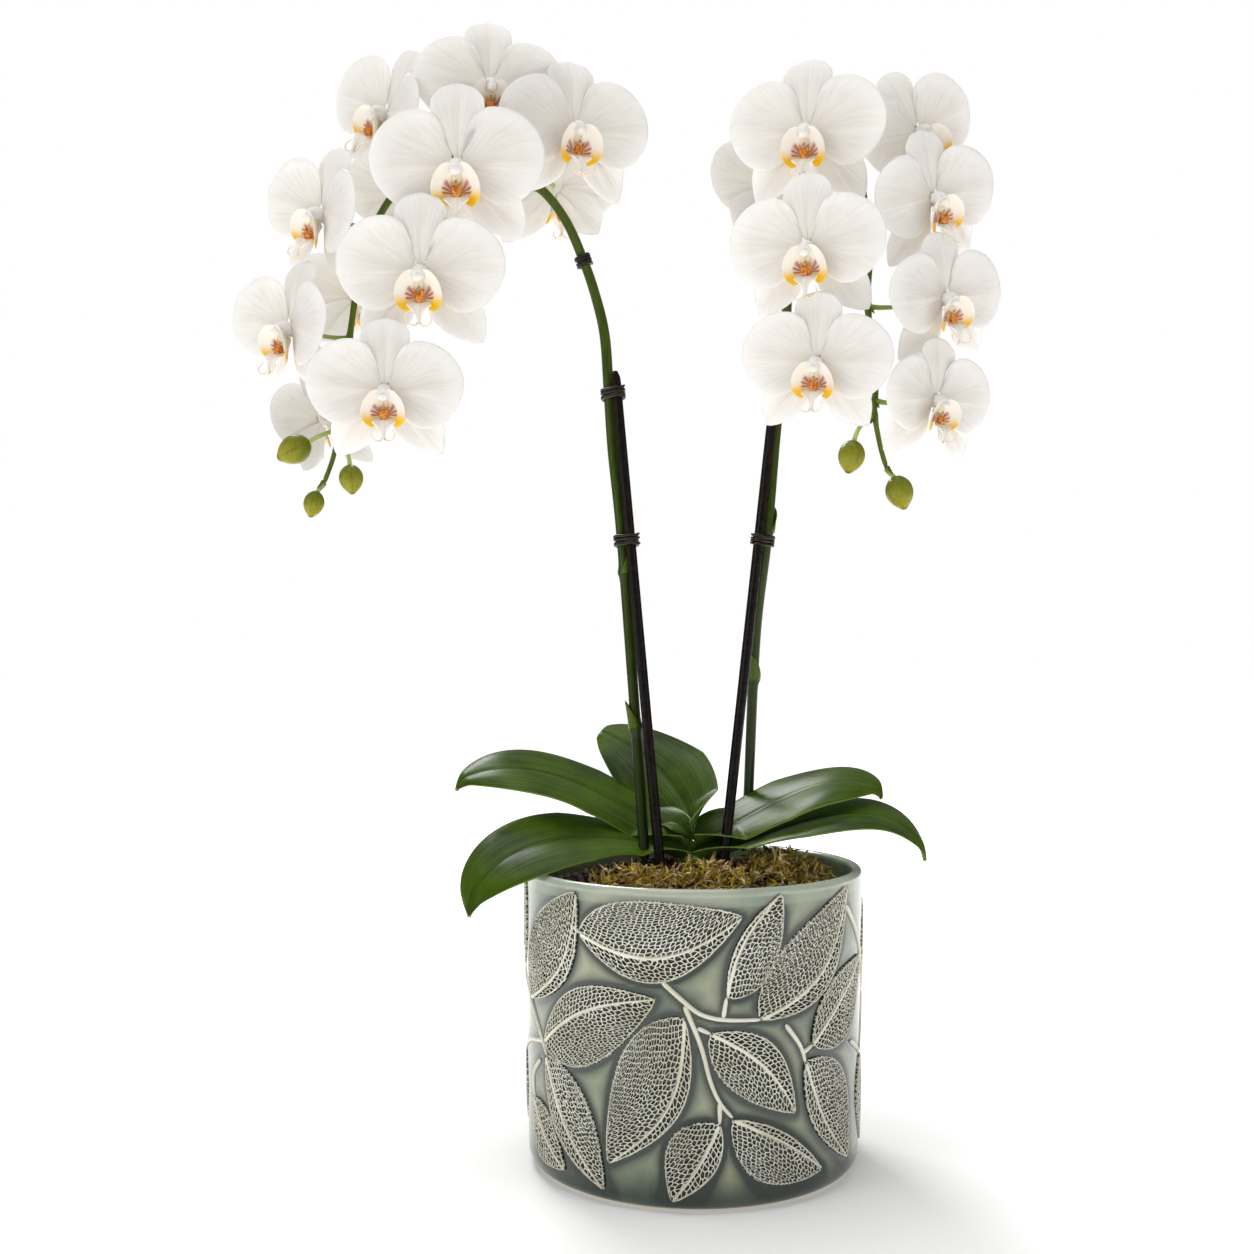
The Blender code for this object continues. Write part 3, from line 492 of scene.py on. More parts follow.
def petal_finish():
    """A living white petal: soft and waxy, lit through from behind, with fine veins that fan
    out from its foot, painted warm shade down its middle crease, painted grey shade inside and a painted
    backlit glow at its rim."""
    made, tree, shader = finish_of("white_petal_flesh", Roughness=0.5, IOR=1.4, Sheen_Weight=0.12,
                                   Subsurface_Weight=0.35, Subsurface_Scale=0.002,
                                   Subsurface_Radius=(1.0, 0.95, 0.9))
    mark = node(tree, "ShaderNodeAttribute", attribute_name="mark").outputs["Vector"]
    parts = node(tree, "ShaderNodeSeparateXYZ", {0: mark}).outputs
    # veins about 1 mm apart at the rim of a petal 45 mm across
    fan = node(tree, "ShaderNodeMapping", {0: mark, 3: (17.0, 2.2, 9.0)}).outputs[0]
    vein = node(tree, "ShaderNodeTexNoise",
                {"Vector": fan, "Scale": 1.0, "Detail": 4.0, "Distortion": 0.6}).outputs[0]
    faint = node(tree, "ShaderNodeMapRange", {0: vein, 1: 0.42, 2: 0.72, 3: 0.0, 4: 0.45}).outputs[0]
    across = node(tree, "ShaderNodeMath", {0: parts["X"]}, operation="ABSOLUTE").outputs[0]
    # painted shade down the middle crease
    fold = node(tree, "ShaderNodeMapRange", {0: across, 1: 0.0, 2: 0.10, 3: 0.30, 4: 0.0}).outputs[0]
    foot = node(tree, "ShaderNodeMapRange", {0: parts["Y"], 1: 0.05, 2: 0.35, 3: 0.35, 4: 0.0}).outputs[0]
    # painted light: a backlit glow, brighter towards the rim
    rim = node(tree, "ShaderNodeMapRange", {0: parts["Y"], 1: 0.70, 2: 1.0, 3: 0.0, 4: 0.60}).outputs[0]
    # the grey-white base is painted shade over the petal's inside
    colour = layered(tree, hex_colour("#e9e4de"), (faint, "#d5cec6"), (fold, "#d9d2ca"), (foot, "#ece6cf"),
                     (rim, "#f9f6f2"))
    dress(tree, shader, colour, vein, 0.0004, 0.5)
    return made


def lip_finish():
    """The flesh of the lip: glossier than the petals, white above, running to egg yellow along
    its lower edge, with painted warm shade in its hollows and red-brown stripes deep in the throat."""
    made, tree, shader = finish_of("striped_lip_flesh", Roughness=0.34, IOR=1.42, Coat_Weight=0.2,
                                   Coat_Roughness=0.2, Subsurface_Weight=0.15, Subsurface_Scale=0.0004)
    mark = node(tree, "ShaderNodeAttribute", attribute_name="mark").outputs["Vector"]
    parts = node(tree, "ShaderNodeSeparateXYZ", {0: mark}).outputs
    # the mark's z lays painted warm shade, and the stripes go over it
    colour = layered(tree, hex_colour("#f7f1e6"), (parts["X"], "#f8c615"), (parts["Z"], "#e0c9a6"),
                     (parts["Y"], "#b4380a"))
    tree.links.new(colour, shader.inputs["Base Color"])
    return made


def callus_finish():
    """The warty callus in the throat: shiny orange flesh, freckled red-brown."""
    made, tree, shader = finish_of("freckled_callus", Roughness=0.28, IOR=1.45, Coat_Weight=0.4,
                                   Coat_Roughness=0.1, Subsurface_Weight=0.10, Subsurface_Scale=0.0003)
    where = node(tree, "ShaderNodeTexCoord").outputs["Object"]
    # freckles of 1.1 mm
    freckle = node(tree, "ShaderNodeTexNoise",
                   {"Vector": where, "Scale": 1 / 0.0011, "Detail": 2.0}).outputs[0]
    amount = node(tree, "ShaderNodeMapRange", {0: freckle, 1: 0.48, 2: 0.62}).outputs[0]
    colour = layered(tree, hex_colour("#dd8a12"), (amount, "#8e3408"))
    tree.links.new(colour, shader.inputs["Base Color"])
    return made


def speckled_finish(name, dark, light, grain, roughness, **constants):
    """A natural matte stuff of one colour family, mottled at the size of its grain."""
    made, tree, shader = finish_of(name, Roughness=roughness, **constants)
    where = node(tree, "ShaderNodeTexCoord").outputs["Object"]
    mottle = node(tree, "ShaderNodeTexNoise", {"Vector": where, "Scale": 1 / grain, "Detail": 5.0}).outputs[0]
    amount = node(tree, "ShaderNodeMapRange", {0: mottle, 1: 0.38, 2: 0.66}).outputs[0]
    dress(tree, shader, layered(tree, hex_colour(dark), (amount, light)), mottle, grain / 4, 0.5)
    return made


GLAZE = glaze_finish("celadon_glaze_smooth", False)
NET_GLAZE = glaze_finish("celadon_glaze_netted", True)
LEAF = leaf_finish()
SPIKE_SKIN = skin_finish("spike_skin", "#1f2f04", "#5a7014", "#151f05", 0.3)
STALK_SKIN = skin_finish("flower_stalk_skin", "#5a7a1c", "#c3cb80", "#8fa04a")
BUD_SKIN = skin_finish("bud_skin", "#5f6c10", "#a39c22", "#555f0a", 0.3)
PETAL = petal_finish()
LIP = lip_finish()
CALLUS = callus_finish()
# Dyed split-bamboo cane: near-black brown, lacquered, with a fine lengthwise grain.
CANE = speckled_finish("lacquered_cane", "#070403", "#1a100a", 0.004, 0.32, Specular_IOR_Level=0.18)
# Plastic-coated tie wire: dark brown, smooth and shiny.
TIE = speckled_finish("coated_tie_wire", "#100803", "#2a1808", 0.003, 0.28, Specular_IOR_Level=0.3)
# Composted bark: crumbly, damp and almost black.
SOIL = speckled_finish("damp_bark_soil", "#0c0705", "#2c1a10", 0.003, 0.92)
# Chips of pine bark: rough, red-brown to tan.
BARK = speckled_finish("pine_bark_chip", "#1a0f09", "#5b3a20", 0.004, 0.85)
# Sphagnum moss, half dried: golden olive strands with pale straw ends.
MOSS_GOLD = speckled_finish("half_dried_moss", "#665408", "#e3c43f", 0.006, 0.8, Subsurface_Weight=0.1,
                            Subsurface_Scale=0.001)
MOSS_STRAW = speckled_finish("dry_moss_straw", "#9a7638", "#efdcab", 0.005, 0.75)


# ---------------------------------------------------------------- pot
MM = 1000.0
FAR = 1e9  # farther than any real distance


def on_wall(x_mm, height_mm, lift):
    """A place on the pot's wall: millimetres round from the front, and up, and metres out."""
    angle = x_mm / (POT_RADIUS * MM)
    radius = POT_RADIUS - POT_TAPER * (1 - height_mm / (POT_HEIGHT * MM)) + lift
    return np.stack([radius * np.sin(angle), -radius * np.cos(angle), height_mm / MM + 0 * angle], -1)


def flat_place(place):
    """(degrees round, millimetres up) as flat millimetres on the unrolled wall."""
    return np.array((math.radians(place[0]) * POT_RADIUS * MM, place[1]))


def relief_leaf(base, tip, left, right, bend):
    """The unrolled grid of a relief leaf: its places, and each point's t and side."""
    start, end = flat_place(base), flat_place(tip)
    chord = end - start
    length = np.linalg.norm(chord)
    forward = chord / length
    side = np.array((-forward[1], forward[0]))
    t = np.linspace(0, 1, round(length / RELIEF_GRID))
    s = np.linspace(-1, 1, round((left + right) / RELIEF_GRID) // 2 * 2 + 1)
    middle = start + chord * t[:, None] + side * (bend * np.sin(math.pi * t))[:, None]
    swell = 1.12 * (np.sin(math.pi * t**0.92) ** 0.8 * (1 - 0.25 * t))[:, None]
    edge = np.where(s[None] > 0, (left - bend) * swell, (right + bend) * swell)
    out = middle[:, None] + side * (s[None] * edge)[..., None]
    return out, t, s, edge, length


def distance_to_line(places, line):
    """The distance from each place to a line of points, all flat."""
    best = np.full(places.shape[:-1], FAR)
    for a, b in zip(line, line[1:]):
        way = b - a
        share = np.clip(((places - a) @ way) / max(way @ way, 1e-9), 0, 1)
        best = np.minimum(best, np.linalg.norm(places - a - share[..., None] * way, axis=-1))
    return best


def half_round(place):
    """The same height on the other side of the pot."""
    return place[0] + 180, place[1]


def whole_relief():
    """The leaves and branches on the front and sides, and the front's again round the back."""
    leaves = list(RELIEF_LEAVES)
    for base, tip, *swell in RELIEF_LEAVES[:FRONT_LEAVES]:
        leaves.append((half_round(base), half_round(tip), *swell))
    branches = RELIEF_BRANCHES + [[half_round(place) for place in line] for line in RELIEF_BRANCHES]
    return leaves, branches


def pot_profile():
    """The pot's section as (radius, height), from under its middle, out and up, over the rim and
    down to its floor, and the rows where the outside of its wall starts and ends."""
    foot = POT_RADIUS - POT_TAPER
    under = [(0.0, 0.0008), (foot * 0.55, 0.0008), (foot * 0.80, 0.0008), (foot * 0.84, 0.0),
             (foot - POT_CORNER, 0.0)]
    under += [(foot - POT_CORNER * (1 - math.sin(a)), POT_CORNER * (1 - math.cos(a)))
              for a in np.linspace(0.2, math.pi / 2, 8)]
    top = POT_HEIGHT - POT_WALL * 0.55
    wall = [(foot + POT_TAPER * z / POT_HEIGHT, z) for z in np.linspace(POT_CORNER, top, WALL_STEPS)[1:]]
    rim_middle = POT_RADIUS - POT_WALL / 2
    rim = [(rim_middle + POT_WALL / 2 * math.cos(a), top + POT_WALL * 0.55 * math.sin(a))
           for a in np.linspace(0.12, math.pi, 12)]
    inner = POT_RADIUS - POT_WALL
    inside = [(inner - POT_TAPER * (1 - z / POT_HEIGHT), z) for z in np.linspace(top - 0.003, 0.02, 12)]
    inside += [(inner - POT_TAPER - 0.004, POT_FLOOR + 0.002), (0.05, POT_FLOOR), (0.0, POT_FLOOR)]
    return np.array(under + wall + rim + inside), len(under), len(under + wall)


def distance_to_relief(flat, leaves, branches):
    """Millimetres from each place on the unrolled wall to the relief, where it is less than about 9."""
    outlines = []
    for leaf in leaves:
        grid = relief_leaf(*leaf)[0]
        outlines.append(np.concatenate([grid[::5, 0], grid[::-5, -1], grid[:1, 0]]))
    outlines += [np.array([flat_place(place) for place in line]) for line in branches]
    whole_turn = 2 * math.pi * POT_RADIUS * MM
    past = 9  # millimetres past an outline, where its pool of glaze has thinned out
    across = flat[0, :, 0]
    near = np.full(flat.shape[:2], FAR)
    for line in outlines:
        for shift in (-whole_turn, 0.0, whole_turn):
            moved = line + (shift, 0)
            close = np.where((across > moved[:, 0].min() - past) & (across < moved[:, 0].max() + past))[0]
            if len(close):
                near[:, close] = np.minimum(near[:, close], distance_to_line(flat[:, close], moved))
    return near


def glaze_marks(height_mm, near, first_wall, last_wall):
    """For every point of the pot: how dark its glaze is where it pools, darker towards the bottom and in
    painted shade inside under the rim, how thin it is, and if its clay is bare.
    """
    glaze_pool_and_shade = 0.95 * np.exp(-(np.maximum(near - 1.6, 0) / 2.8) ** 1.1) + 0.32 * np.exp(-near / 8)
    glaze_pool_and_shade *= (1 - smoothstep(150, 160, height_mm) * 0.6)
    # darker towards the bottom, in a band up to 24 mm high
    low_band = 0.8 * (1 - smoothstep(5, 24, height_mm))
    is_inside = np.arange(len(glaze_pool_and_shade))[:, None] >= last_wall + 8
    # painted shade: inside the pot the glaze darkens below the rim
    inside = 0.15 + 0.3 * (1 - smoothstep(150, 163, height_mm))
    glaze_pool_and_shade = np.where(is_inside, inside, np.clip(glaze_pool_and_shade + low_band, 0, 1))
    thin = np.zeros_like(glaze_pool_and_shade)
    thin[last_wall - 1 : last_wall + 9] = 0.55
    thin[last_wall - 5 : last_wall - 1] = 0.2
    bare = np.zeros_like(glaze_pool_and_shade)
    bare[: first_wall - 6] = 1.0
    return np.stack([glaze_pool_and_shade, thin, bare], -1)


def build_pot(leaves, branches):
    profile, first_wall, last_wall = pot_profile()
    rows, columns = len(profile), POT_COLUMNS
    angle = np.linspace(-math.pi, math.pi, columns, endpoint=False)
    flat = np.stack(np.broadcast_arrays(angle[None] * POT_RADIUS * MM, profile[:, 1:] * MM), -1)
    band = slice(first_wall - 6, last_wall)
    near = np.full(flat.shape[:2], FAR)
    near[band] = distance_to_relief(flat[band], leaves, branches)
    marks = glaze_marks(flat[..., 1], near, first_wall, last_wall)
    # a faint groove runs round the foot of the relief
    radius = profile[:, :1] - 0.00035 * np.exp(-(near / 1.8) ** 2)
    height = np.broadcast_to(profile[:, 1:], near.shape)
    points = np.stack([radius * np.sin(angle), -radius * np.cos(angle), height], -1)
    body = points[1:-1].reshape(-1, 3)
    centres = [(0, 0, profile[0, 1]), (0, 0, profile[-1, 1])]
    count = len(body)
    last = (rows - 3) * columns
    faces = grid_faces(rows - 2, columns, wrap=True)
    faces += [((j + 1) % columns, j, count) for j in range(columns)]
    faces += [(last + j, last + (j + 1) % columns, count + 1) for j in range(columns)]
    piece = Piece()
    piece.add(np.concatenate([body, centres]), faces,
              np.concatenate([marks[1:-1].reshape(-1, 3), [(0, 0, 1), (0.6, 0, 0)]]))
    piece.make("glazed_pot", [GLAZE], "celadon_glaze", "pot")


def net_relief_tree():
    """Raises every point along its normal: high on the ridges, low in the pits of the net."""
    tree = bpy.data.node_groups.new("netted_leaf_relief", "GeometryNodeTree")
    tree.interface.new_socket("Geometry", in_out="INPUT", socket_type="NodeSocketGeometry")
    height = tree.interface.new_socket("Net height", in_out="INPUT", socket_type="NodeSocketFloat")
    finish = tree.interface.new_socket("Glaze", in_out="INPUT", socket_type="NodeSocketMaterial")
    tree.interface.new_socket("Geometry", in_out="OUTPUT", socket_type="NodeSocketGeometry")
    given = node(tree, "NodeGroupInput").outputs
    mark = node(tree, "GeometryNodeInputNamedAttribute", {"Name": "mark"},
                data_type="FLOAT_VECTOR").outputs[0]
    parts = node(tree, "ShaderNodeSeparateXYZ", {0: mark}).outputs
    net = node(tree, "ShaderNodeTexVoronoi", {"Vector": mark, "Scale": 1.0, "Randomness": NET_RANDOMNESS},
               voronoi_dimensions="2D", feature="DISTANCE_TO_EDGE").outputs["Distance"]
    wall = node(tree, "ShaderNodeMapRange", {0: net, 1: 0.07, 2: 0.24, 3: 1.0, 4: 0.0}).outputs[0]
    netted = node(tree, "ShaderNodeMath", {0: wall, 1: 1.0}, operation="MINIMUM").outputs[0]
    # z is 1 on the raised edge and midrib, 0 on the net, and -1 where the leaf meets the wall
    ridge = node(tree, "ShaderNodeMath", {0: netted, 1: parts["Z"]}, operation="MAXIMUM").outputs[0]
    sunk = node(tree, "ShaderNodeMath", {0: parts["Z"], 1: 0.0}, operation="MINIMUM").outputs[0]
    level = node(tree, "ShaderNodeMath", {0: ridge, 1: sunk}, operation="ADD").outputs[0]
    lift = node(tree, "ShaderNodeMath", {0: level, 1: given["Net height"]}, operation="MULTIPLY").outputs[0]
    normal = node(tree, "GeometryNodeInputNormal").outputs[0]
    offset = node(tree, "ShaderNodeVectorMath", {0: normal, "Scale": lift}, operation="SCALE").outputs[0]
    front = node(tree, "ShaderNodeMath", {0: parts["Z"], 1: -0.99}, operation="GREATER_THAN").outputs[0]
    moved = node(tree, "GeometryNodeSetPosition",
                 {0: given["Geometry"], "Selection": front, "Offset": offset})
    real = node(tree, "GeometryNodeRealizeInstances", {0: moved.outputs[0]})
    glazed = node(tree, "GeometryNodeSetMaterial", {0: real.outputs[0], "Material": given["Glaze"]})
    node(tree, "NodeGroupOutput", {0: glazed.outputs[0]})
    return tree, {"height": height.identifier, "finish": finish.identifier}


def through_nodes(obj, tree, values):
    """The object's mesh after a geometry node tree with these values, as a plain mesh."""
    made = obj.modifiers.new("growth", "NODES")
    made.node_group = tree
    for identifier, value in values.items():
        made[identifier] = value
    bpy.context.view_layer.update()
    graph = bpy.context.evaluated_depsgraph_get()
    mesh = bpy.data.meshes.new_from_object(obj.evaluated_get(graph))
    obj.modifiers.remove(made)
    bpy.data.objects.remove(obj, do_unlink=True)
    mesh.shade_smooth()
    return mesh


def build_relief(leaves, branches):
    tree, names = net_relief_tree()
    quarters = {name: Piece() for name in QUARTERS}
    for leaf in leaves:
        middle = ((leaf[0][0] + leaf[1][0]) / 2 + 45) % 360
        part = quarters[QUARTERS[int(middle // 90)]]
        grid, t, s, edge, length = relief_leaf(*leaf)
        rows, cols = len(t), len(s)
        from_rib = np.abs(s)[None] * edge
        from_edge = edge - from_rib
        rib_half = 0.95 * (1 - 0.65 * t[:, None])
        ridge = np.maximum(smoothstep(rib_half + 0.35, rib_half - 0.1, from_rib),
                           smoothstep(1.15, 0.75, from_edge))
        foot = smoothstep(0.5, 0.0, from_edge)
        ends = (t[:, None] < 0.012) | (t[:, None] > 0.988) | (np.abs(s)[None] > 0.999)
        level = np.where(ends, -0.9, ridge * (1 - 0.5 * foot))
        # the rows of pits lean towards the tip, as side veins do, and grow finer outwards
        along = (t[:, None] * length - 0.55 * from_rib) / NET_CELL
        outward = np.sign(s)[None] * from_rib / NET_CELL * (1 + 0.035 * from_rib) + 40.0 * np.sign(s)[None]
        marks = np.stack([along, outward, level], -1)
        pillow = 0.0003 * np.sin(math.pi * t)[:, None] * (1 - s[None] ** 2)
        points = on_wall(grid[..., 0], grid[..., 1], pillow - 0.0001)
        back = on_wall(grid[:, (0, -1), 0], grid[:, (0, -1), 1], -0.0012)
        faces = grid_faces(rows, cols)
        base = rows * cols
        for i in range(rows - 1):
            a, b, c, d = i * cols, (i + 1) * cols, base + 2 * i, base + 2 * (i + 1)
            faces.append((b, a, c, d))
            faces.append((a + cols - 1, b + cols - 1, d + 1, c + 1))
            faces.append((d, c, c + 1, d + 1))
        faces.append((*range(cols), base + 1, base))
        last = (rows - 1) * cols
        faces.append((*range(last + cols - 1, last - 1, -1), base + 2 * rows - 2, base + 2 * rows - 1))
        back_marks = np.broadcast_to((0.0, 0.0, -1.0), (rows, 2, 3))
        part.add(np.concatenate([points.reshape(-1, 3), back.reshape(-1, 3)]), faces,
                 np.concatenate([marks.reshape(-1, 3), back_marks.reshape(-1, 3)]))
    for name, part in quarters.items():
        rough = object_of(f"rough_{name}", part.mesh(f"rough_{name}", [NET_GLAZE]))
        mesh = through_nodes(rough, tree, {names["height"]: RELIEF_HEIGHT, names["finish"]: NET_GLAZE})
        mesh.name = f"relief_leaves_{name}"
        stand(object_of(f"relief_leaves_{name}", mesh), "celadon_glaze")

    twigs = Piece()
    for line in branches:
        flat = smooth_line([(*flat_place(p), 0) for p in line], 1.5)
        x = np.array([p.x for p in flat])
        z = np.array([p.y for p in flat])
        centre = on_wall(x, z, -0.0002)
        radii = rounded(np.linspace(0.00135, 0.00095, len(flat)), 2)
        points, faces, marks = tube(centre, radii, 10)
        twigs.add(points, faces, np.stack([marks[:, 0], marks[:, 1], np.ones(len(marks))], -1))
    twigs.make("relief_branches", [NET_GLAZE], "celadon_glaze")


RELIEF, BRANCHES = whole_relief()
build_pot(RELIEF, BRANCHES)
build_relief(RELIEF, BRANCHES)


# ---------------------------------------------------------------- mix and moss
INNER = POT_RADIUS - POT_WALL


def mix_top(x, y):
    share = np.minimum(1.0, np.hypot(x, y) / (INNER - 0.0003))
    return MIX_EDGE + MIX_CROWNING * (1 - share**2)


def crumb(x, y, size):
    return noise.noise(Vector((x / size, y / size, 0.5)))


def build_soil():
    rings, around = 60, 180
    angles = [2 * math.pi * j / around for j in range(around)]
    points = []
    for i in range(1, rings + 1):
        radius = (INNER - 0.0007) * i / rings
        keep = 1.0 if i < rings else 0.2
        for a in angles:
            x, y = radius * math.cos(a), radius * math.sin(a)
            rough = 0.0016 * crumb(x, y, 0.006) + 0.0010 * crumb(x, y, 0.0022)
            points.append((x, y, mix_top(x, y) - 0.0012 + rough * keep))
    for radius, height in ((INNER - 0.002, 0.13), (INNER - 0.006, 0.02)):
        points += [(radius * math.cos(a), radius * math.sin(a), height) for a in angles]
    faces = grid_faces(rings + 2, around, wrap=True)
    faces.append(tuple(range((rings + 1) * around, (rings + 2) * around))[::-1])
    count = len(points)
    points.append((0, 0, mix_top(0, 0) - 0.001))
    faces += [(count, j, (j + 1) % around) for j in range(around)]
    piece = Piece()
    piece.add(points, faces)
    piece.make("bark_soil", [SOIL], "potting_bark", "potting_mix")


def scatter_tree(name, tilt):
    """Scatters picked copies of a few shapes over a surface, each turned and sized by chance."""
    tree = bpy.data.node_groups.new(name, "GeometryNodeTree")
    tree.interface.new_socket("Geometry", in_out="INPUT", socket_type="NodeSocketGeometry")
    found = {}
    for label, kind in (("Density", "NodeSocketFloat"), ("Smallest", "NodeSocketFloat"),
                        ("Largest", "NodeSocketFloat"), ("Seed", "NodeSocketInt"),
                        ("Shapes", "NodeSocketCollection"), ("Finish", "NodeSocketMaterial")):
        found[label] = tree.interface.new_socket(label, in_out="INPUT", socket_type=kind).identifier
    tree.interface.new_socket("Geometry", in_out="OUTPUT", socket_type="NodeSocketGeometry")
    given = node(tree, "NodeGroupInput").outputs
    spread = node(tree, "GeometryNodeDistributePointsOnFaces",
                  {0: given["Geometry"], "Density": given["Density"], "Seed": given["Seed"]})
    shapes = node(tree, "GeometryNodeCollectionInfo",
                  {0: given["Shapes"], "Separate Children": True, "Reset Children": True})
    turn = node(tree, "FunctionNodeRandomValue",
                {0: (-tilt, -tilt, 0.0), 1: (tilt, tilt, 2 * math.pi), "Seed": given["Seed"]},
                data_type="FLOAT_VECTOR")
    size = node(tree, "FunctionNodeRandomValue",
                {2: given["Smallest"], 3: given["Largest"], "Seed": given["Seed"]}, data_type="FLOAT")
    placed = node(tree, "GeometryNodeInstanceOnPoints",
                  {0: spread.outputs["Points"], "Instance": shapes.outputs[0], "Pick Instance": True,
                   "Rotation": turn.outputs[0], "Scale": size.outputs[1]})
    real = node(tree, "GeometryNodeRealizeInstances", {0: placed.outputs[0]})
    done = node(tree, "GeometryNodeSetMaterial", {0: real.outputs[0], "Material": given["Finish"]})
    node(tree, "NodeGroupOutput", {0: done.outputs[0]})
    return tree, found


def shape_collection(name, meshes):
    group = bpy.data.collections.new(name)
    for i, mesh in enumerate(meshes):
        group.objects.link(bpy.data.objects.new(f"{name}_{i}", mesh))
    return group


def drop_collection(group):
    for obj in list(group.objects):
        bpy.data.objects.remove(obj, do_unlink=True)
    bpy.data.collections.remove(group)


def bark_chips(count):
    """A few flat broken chips, 1 across."""
    chips = []
    for _ in range(count):
        piece = Piece()
        sides = random.randint(5, 7)
        for _ in range(sides):
            random.random()  # nothing reads these, but every later draw depends on them
        angles = [2 * math.pi * i / sides + 0.5 * random.uniform(-1, 1) for i in range(sides)]
        long_side = random.uniform(0.3, 0.5)
        rings = []
        for level, shrink in ((-0.14, 0.8), (-0.05, 1.0), (0.06, 1.0), (0.15, 0.75)):
            rings += [(long_side * shrink * math.cos(a) * random.uniform(0.85, 1.1),
                       0.28 * shrink * math.sin(a) * random.uniform(0.85, 1.1),
                       level * random.uniform(0.7, 1.3)) for a in angles]
        faces = [face[::-1] for face in grid_faces(4, sides, wrap=True)]
        faces += [tuple(range(sides))[::-1], tuple(range(3 * sides, 4 * sides))]
        piece.add(rings, faces)
        chips.append(piece.mesh("bark_chip", [BARK]))
    return chips


def moss_strands(count, curl, width):
    """A few curled strands with short side shoots, 1 long."""
    strands = []
    for _ in range(count):
        piece = Piece()
        for shoot in range(3):
            steps = 7 if shoot == 0 else 4
            place = Vector((0, 0, -0.1)) if shoot == 0 else Vector(stem[2 + shoot])
            way = Vector((random.uniform(-1, 1), random.uniform(-1, 1), random.uniform(0.1, 1.1)))
            way.normalize()
            swing = Vector((random.uniform(-1, 1), random.uniform(-1, 1), random.uniform(-1, 1))) * curl
            length = 1.0 if shoot == 0 else 0.35
            line = []
            for i in range(steps):
                line.append(tuple(place))
                way = (way + swing / steps + Vector((0, 0, -0.9 / steps))).normalized()
                place = place + way * length / (steps - 1)
            if shoot == 0:
                stem = line
            radii = np.linspace(width, width * 0.35, steps)
            points, faces, _ = tube(line, radii, 3)
            piece.add(points, faces)
        strands.append(piece.mesh("moss_strand", [MOSS_GOLD]))
    return strands


def moss_cushion(middle, radii, height):
    """The ground that the strands of one cushion grow from."""
    reach = INNER - 0.0003
    rings, around = 8, 28
    points = []
    for i in range(rings + 1):
        share = i / rings
        for j in range(around):
            a = 2 * math.pi * j / around
            x = middle[0] * reach + radii[0] * reach * share * math.cos(a)
            y = middle[1] * reach + radii[1] * reach * share * math.sin(a)
            bump = 0.0015 * crumb(x, y, 0.008)
            points.append((x, y, mix_top(x, y) - 0.001 + (height * 0.8 + bump) * (1 - share**2.2)))
    return points, grid_faces(rings + 1, around, wrap=True)


CHIP_DENSITY = 42000.0  # chips on a square metre of mix
MOSS_DENSITY = 430000.0  # strands on a square metre of cushion
# finish, share of the strands, shortest, longest, end of the piece's name
MOSS_KINDS = (
    (MOSS_GOLD, 0.74, 0.006, 0.0125, ""),
    (MOSS_STRAW, 0.26, 0.007, 0.015, "_straw"),
)


def build_bark():
    tree, names = scatter_tree("scattered_bark", 0.7)
    chips = shape_collection("bark_shapes", bark_chips(6))
    rings, around = 14, 40
    points = [(r * math.cos(a), r * math.sin(a), mix_top(r * math.cos(a), r * math.sin(a)) - 0.0005)
              for r in np.linspace(0.004, INNER - 0.006, rings)
              for a in np.linspace(0, 2 * math.pi, around, endpoint=False)]
    top = Piece()
    top.add(points, grid_faces(rings, around, wrap=True))
    rough = object_of("rough_top", top.mesh("rough_top", [BARK]))
    mesh = through_nodes(rough, tree, {
        names["Density"]: CHIP_DENSITY, names["Smallest"]: 0.0022, names["Largest"]: 0.0085, names["Seed"]: 3,
        names["Shapes"]: chips, names["Finish"]: BARK})
    mesh.name = "bark_chips"
    mesh.set_sharp_from_angle(angle=math.radians(30))
    stand(object_of("bark_chips", mesh), "potting_bark")
    drop_collection(chips)


def build_moss():
    tree, names = scatter_tree("scattered_moss", 1.3)
    strands = shape_collection("moss_shapes", moss_strands(8, 3.2, 0.070))
    for order, (name, (middle, radii, height)) in enumerate(MOSS.items()):
        for finish, share, low, high, label in MOSS_KINDS:
            cushion = Piece()
            cushion.add(*moss_cushion(middle, radii, height))
            rough = object_of("rough_cushion", cushion.mesh("rough_cushion", [MOSS_GOLD]))
            mesh = through_nodes(rough, tree, {
                names["Density"]: MOSS_DENSITY * share, names["Smallest"]: low, names["Largest"]: high,
                names["Seed"]: 11 + order, names["Shapes"]: strands, names["Finish"]: finish})
            mesh.name = name + "_strands" + label
            stand(object_of(mesh.name, mesh), "moss_gold", *([name] if not label else []))
    drop_collection(strands)


build_soil()
build_bark()
build_moss()


# ---------------------------------------------------------------- spikes, canes and ties
def spike_line(points, step):
    line = smooth_line([over_rim(p) for p in points], step)
    share = np.linspace(0, 1, len(line))
    taper = np.maximum(0, (share - 0.45) / 0.55)
    return line, SPIKE_BASE_RADIUS + (SPIKE_TIP_RADIUS - SPIKE_BASE_RADIUS) * taper


def cane_line(name):
    spike, start, side, tie_height, top = CANES[name]
    held = place_at_height(spike_line(spike, 0.017)[0], POT_HEIGHT + tie_height)[0]
    out = math.radians(side)
    held += Vector((math.cos(out), math.sin(out), 0)) * (SPIKE_BASE_RADIUS + CANE_RADIUS + CANE_GAP)
    start = over_rim(start)
    along = (held - start).normalized()
    end = start + along * ((POT_HEIGHT + top - start.z) / along.z)
    return start - along * CANE_DEPTH, end


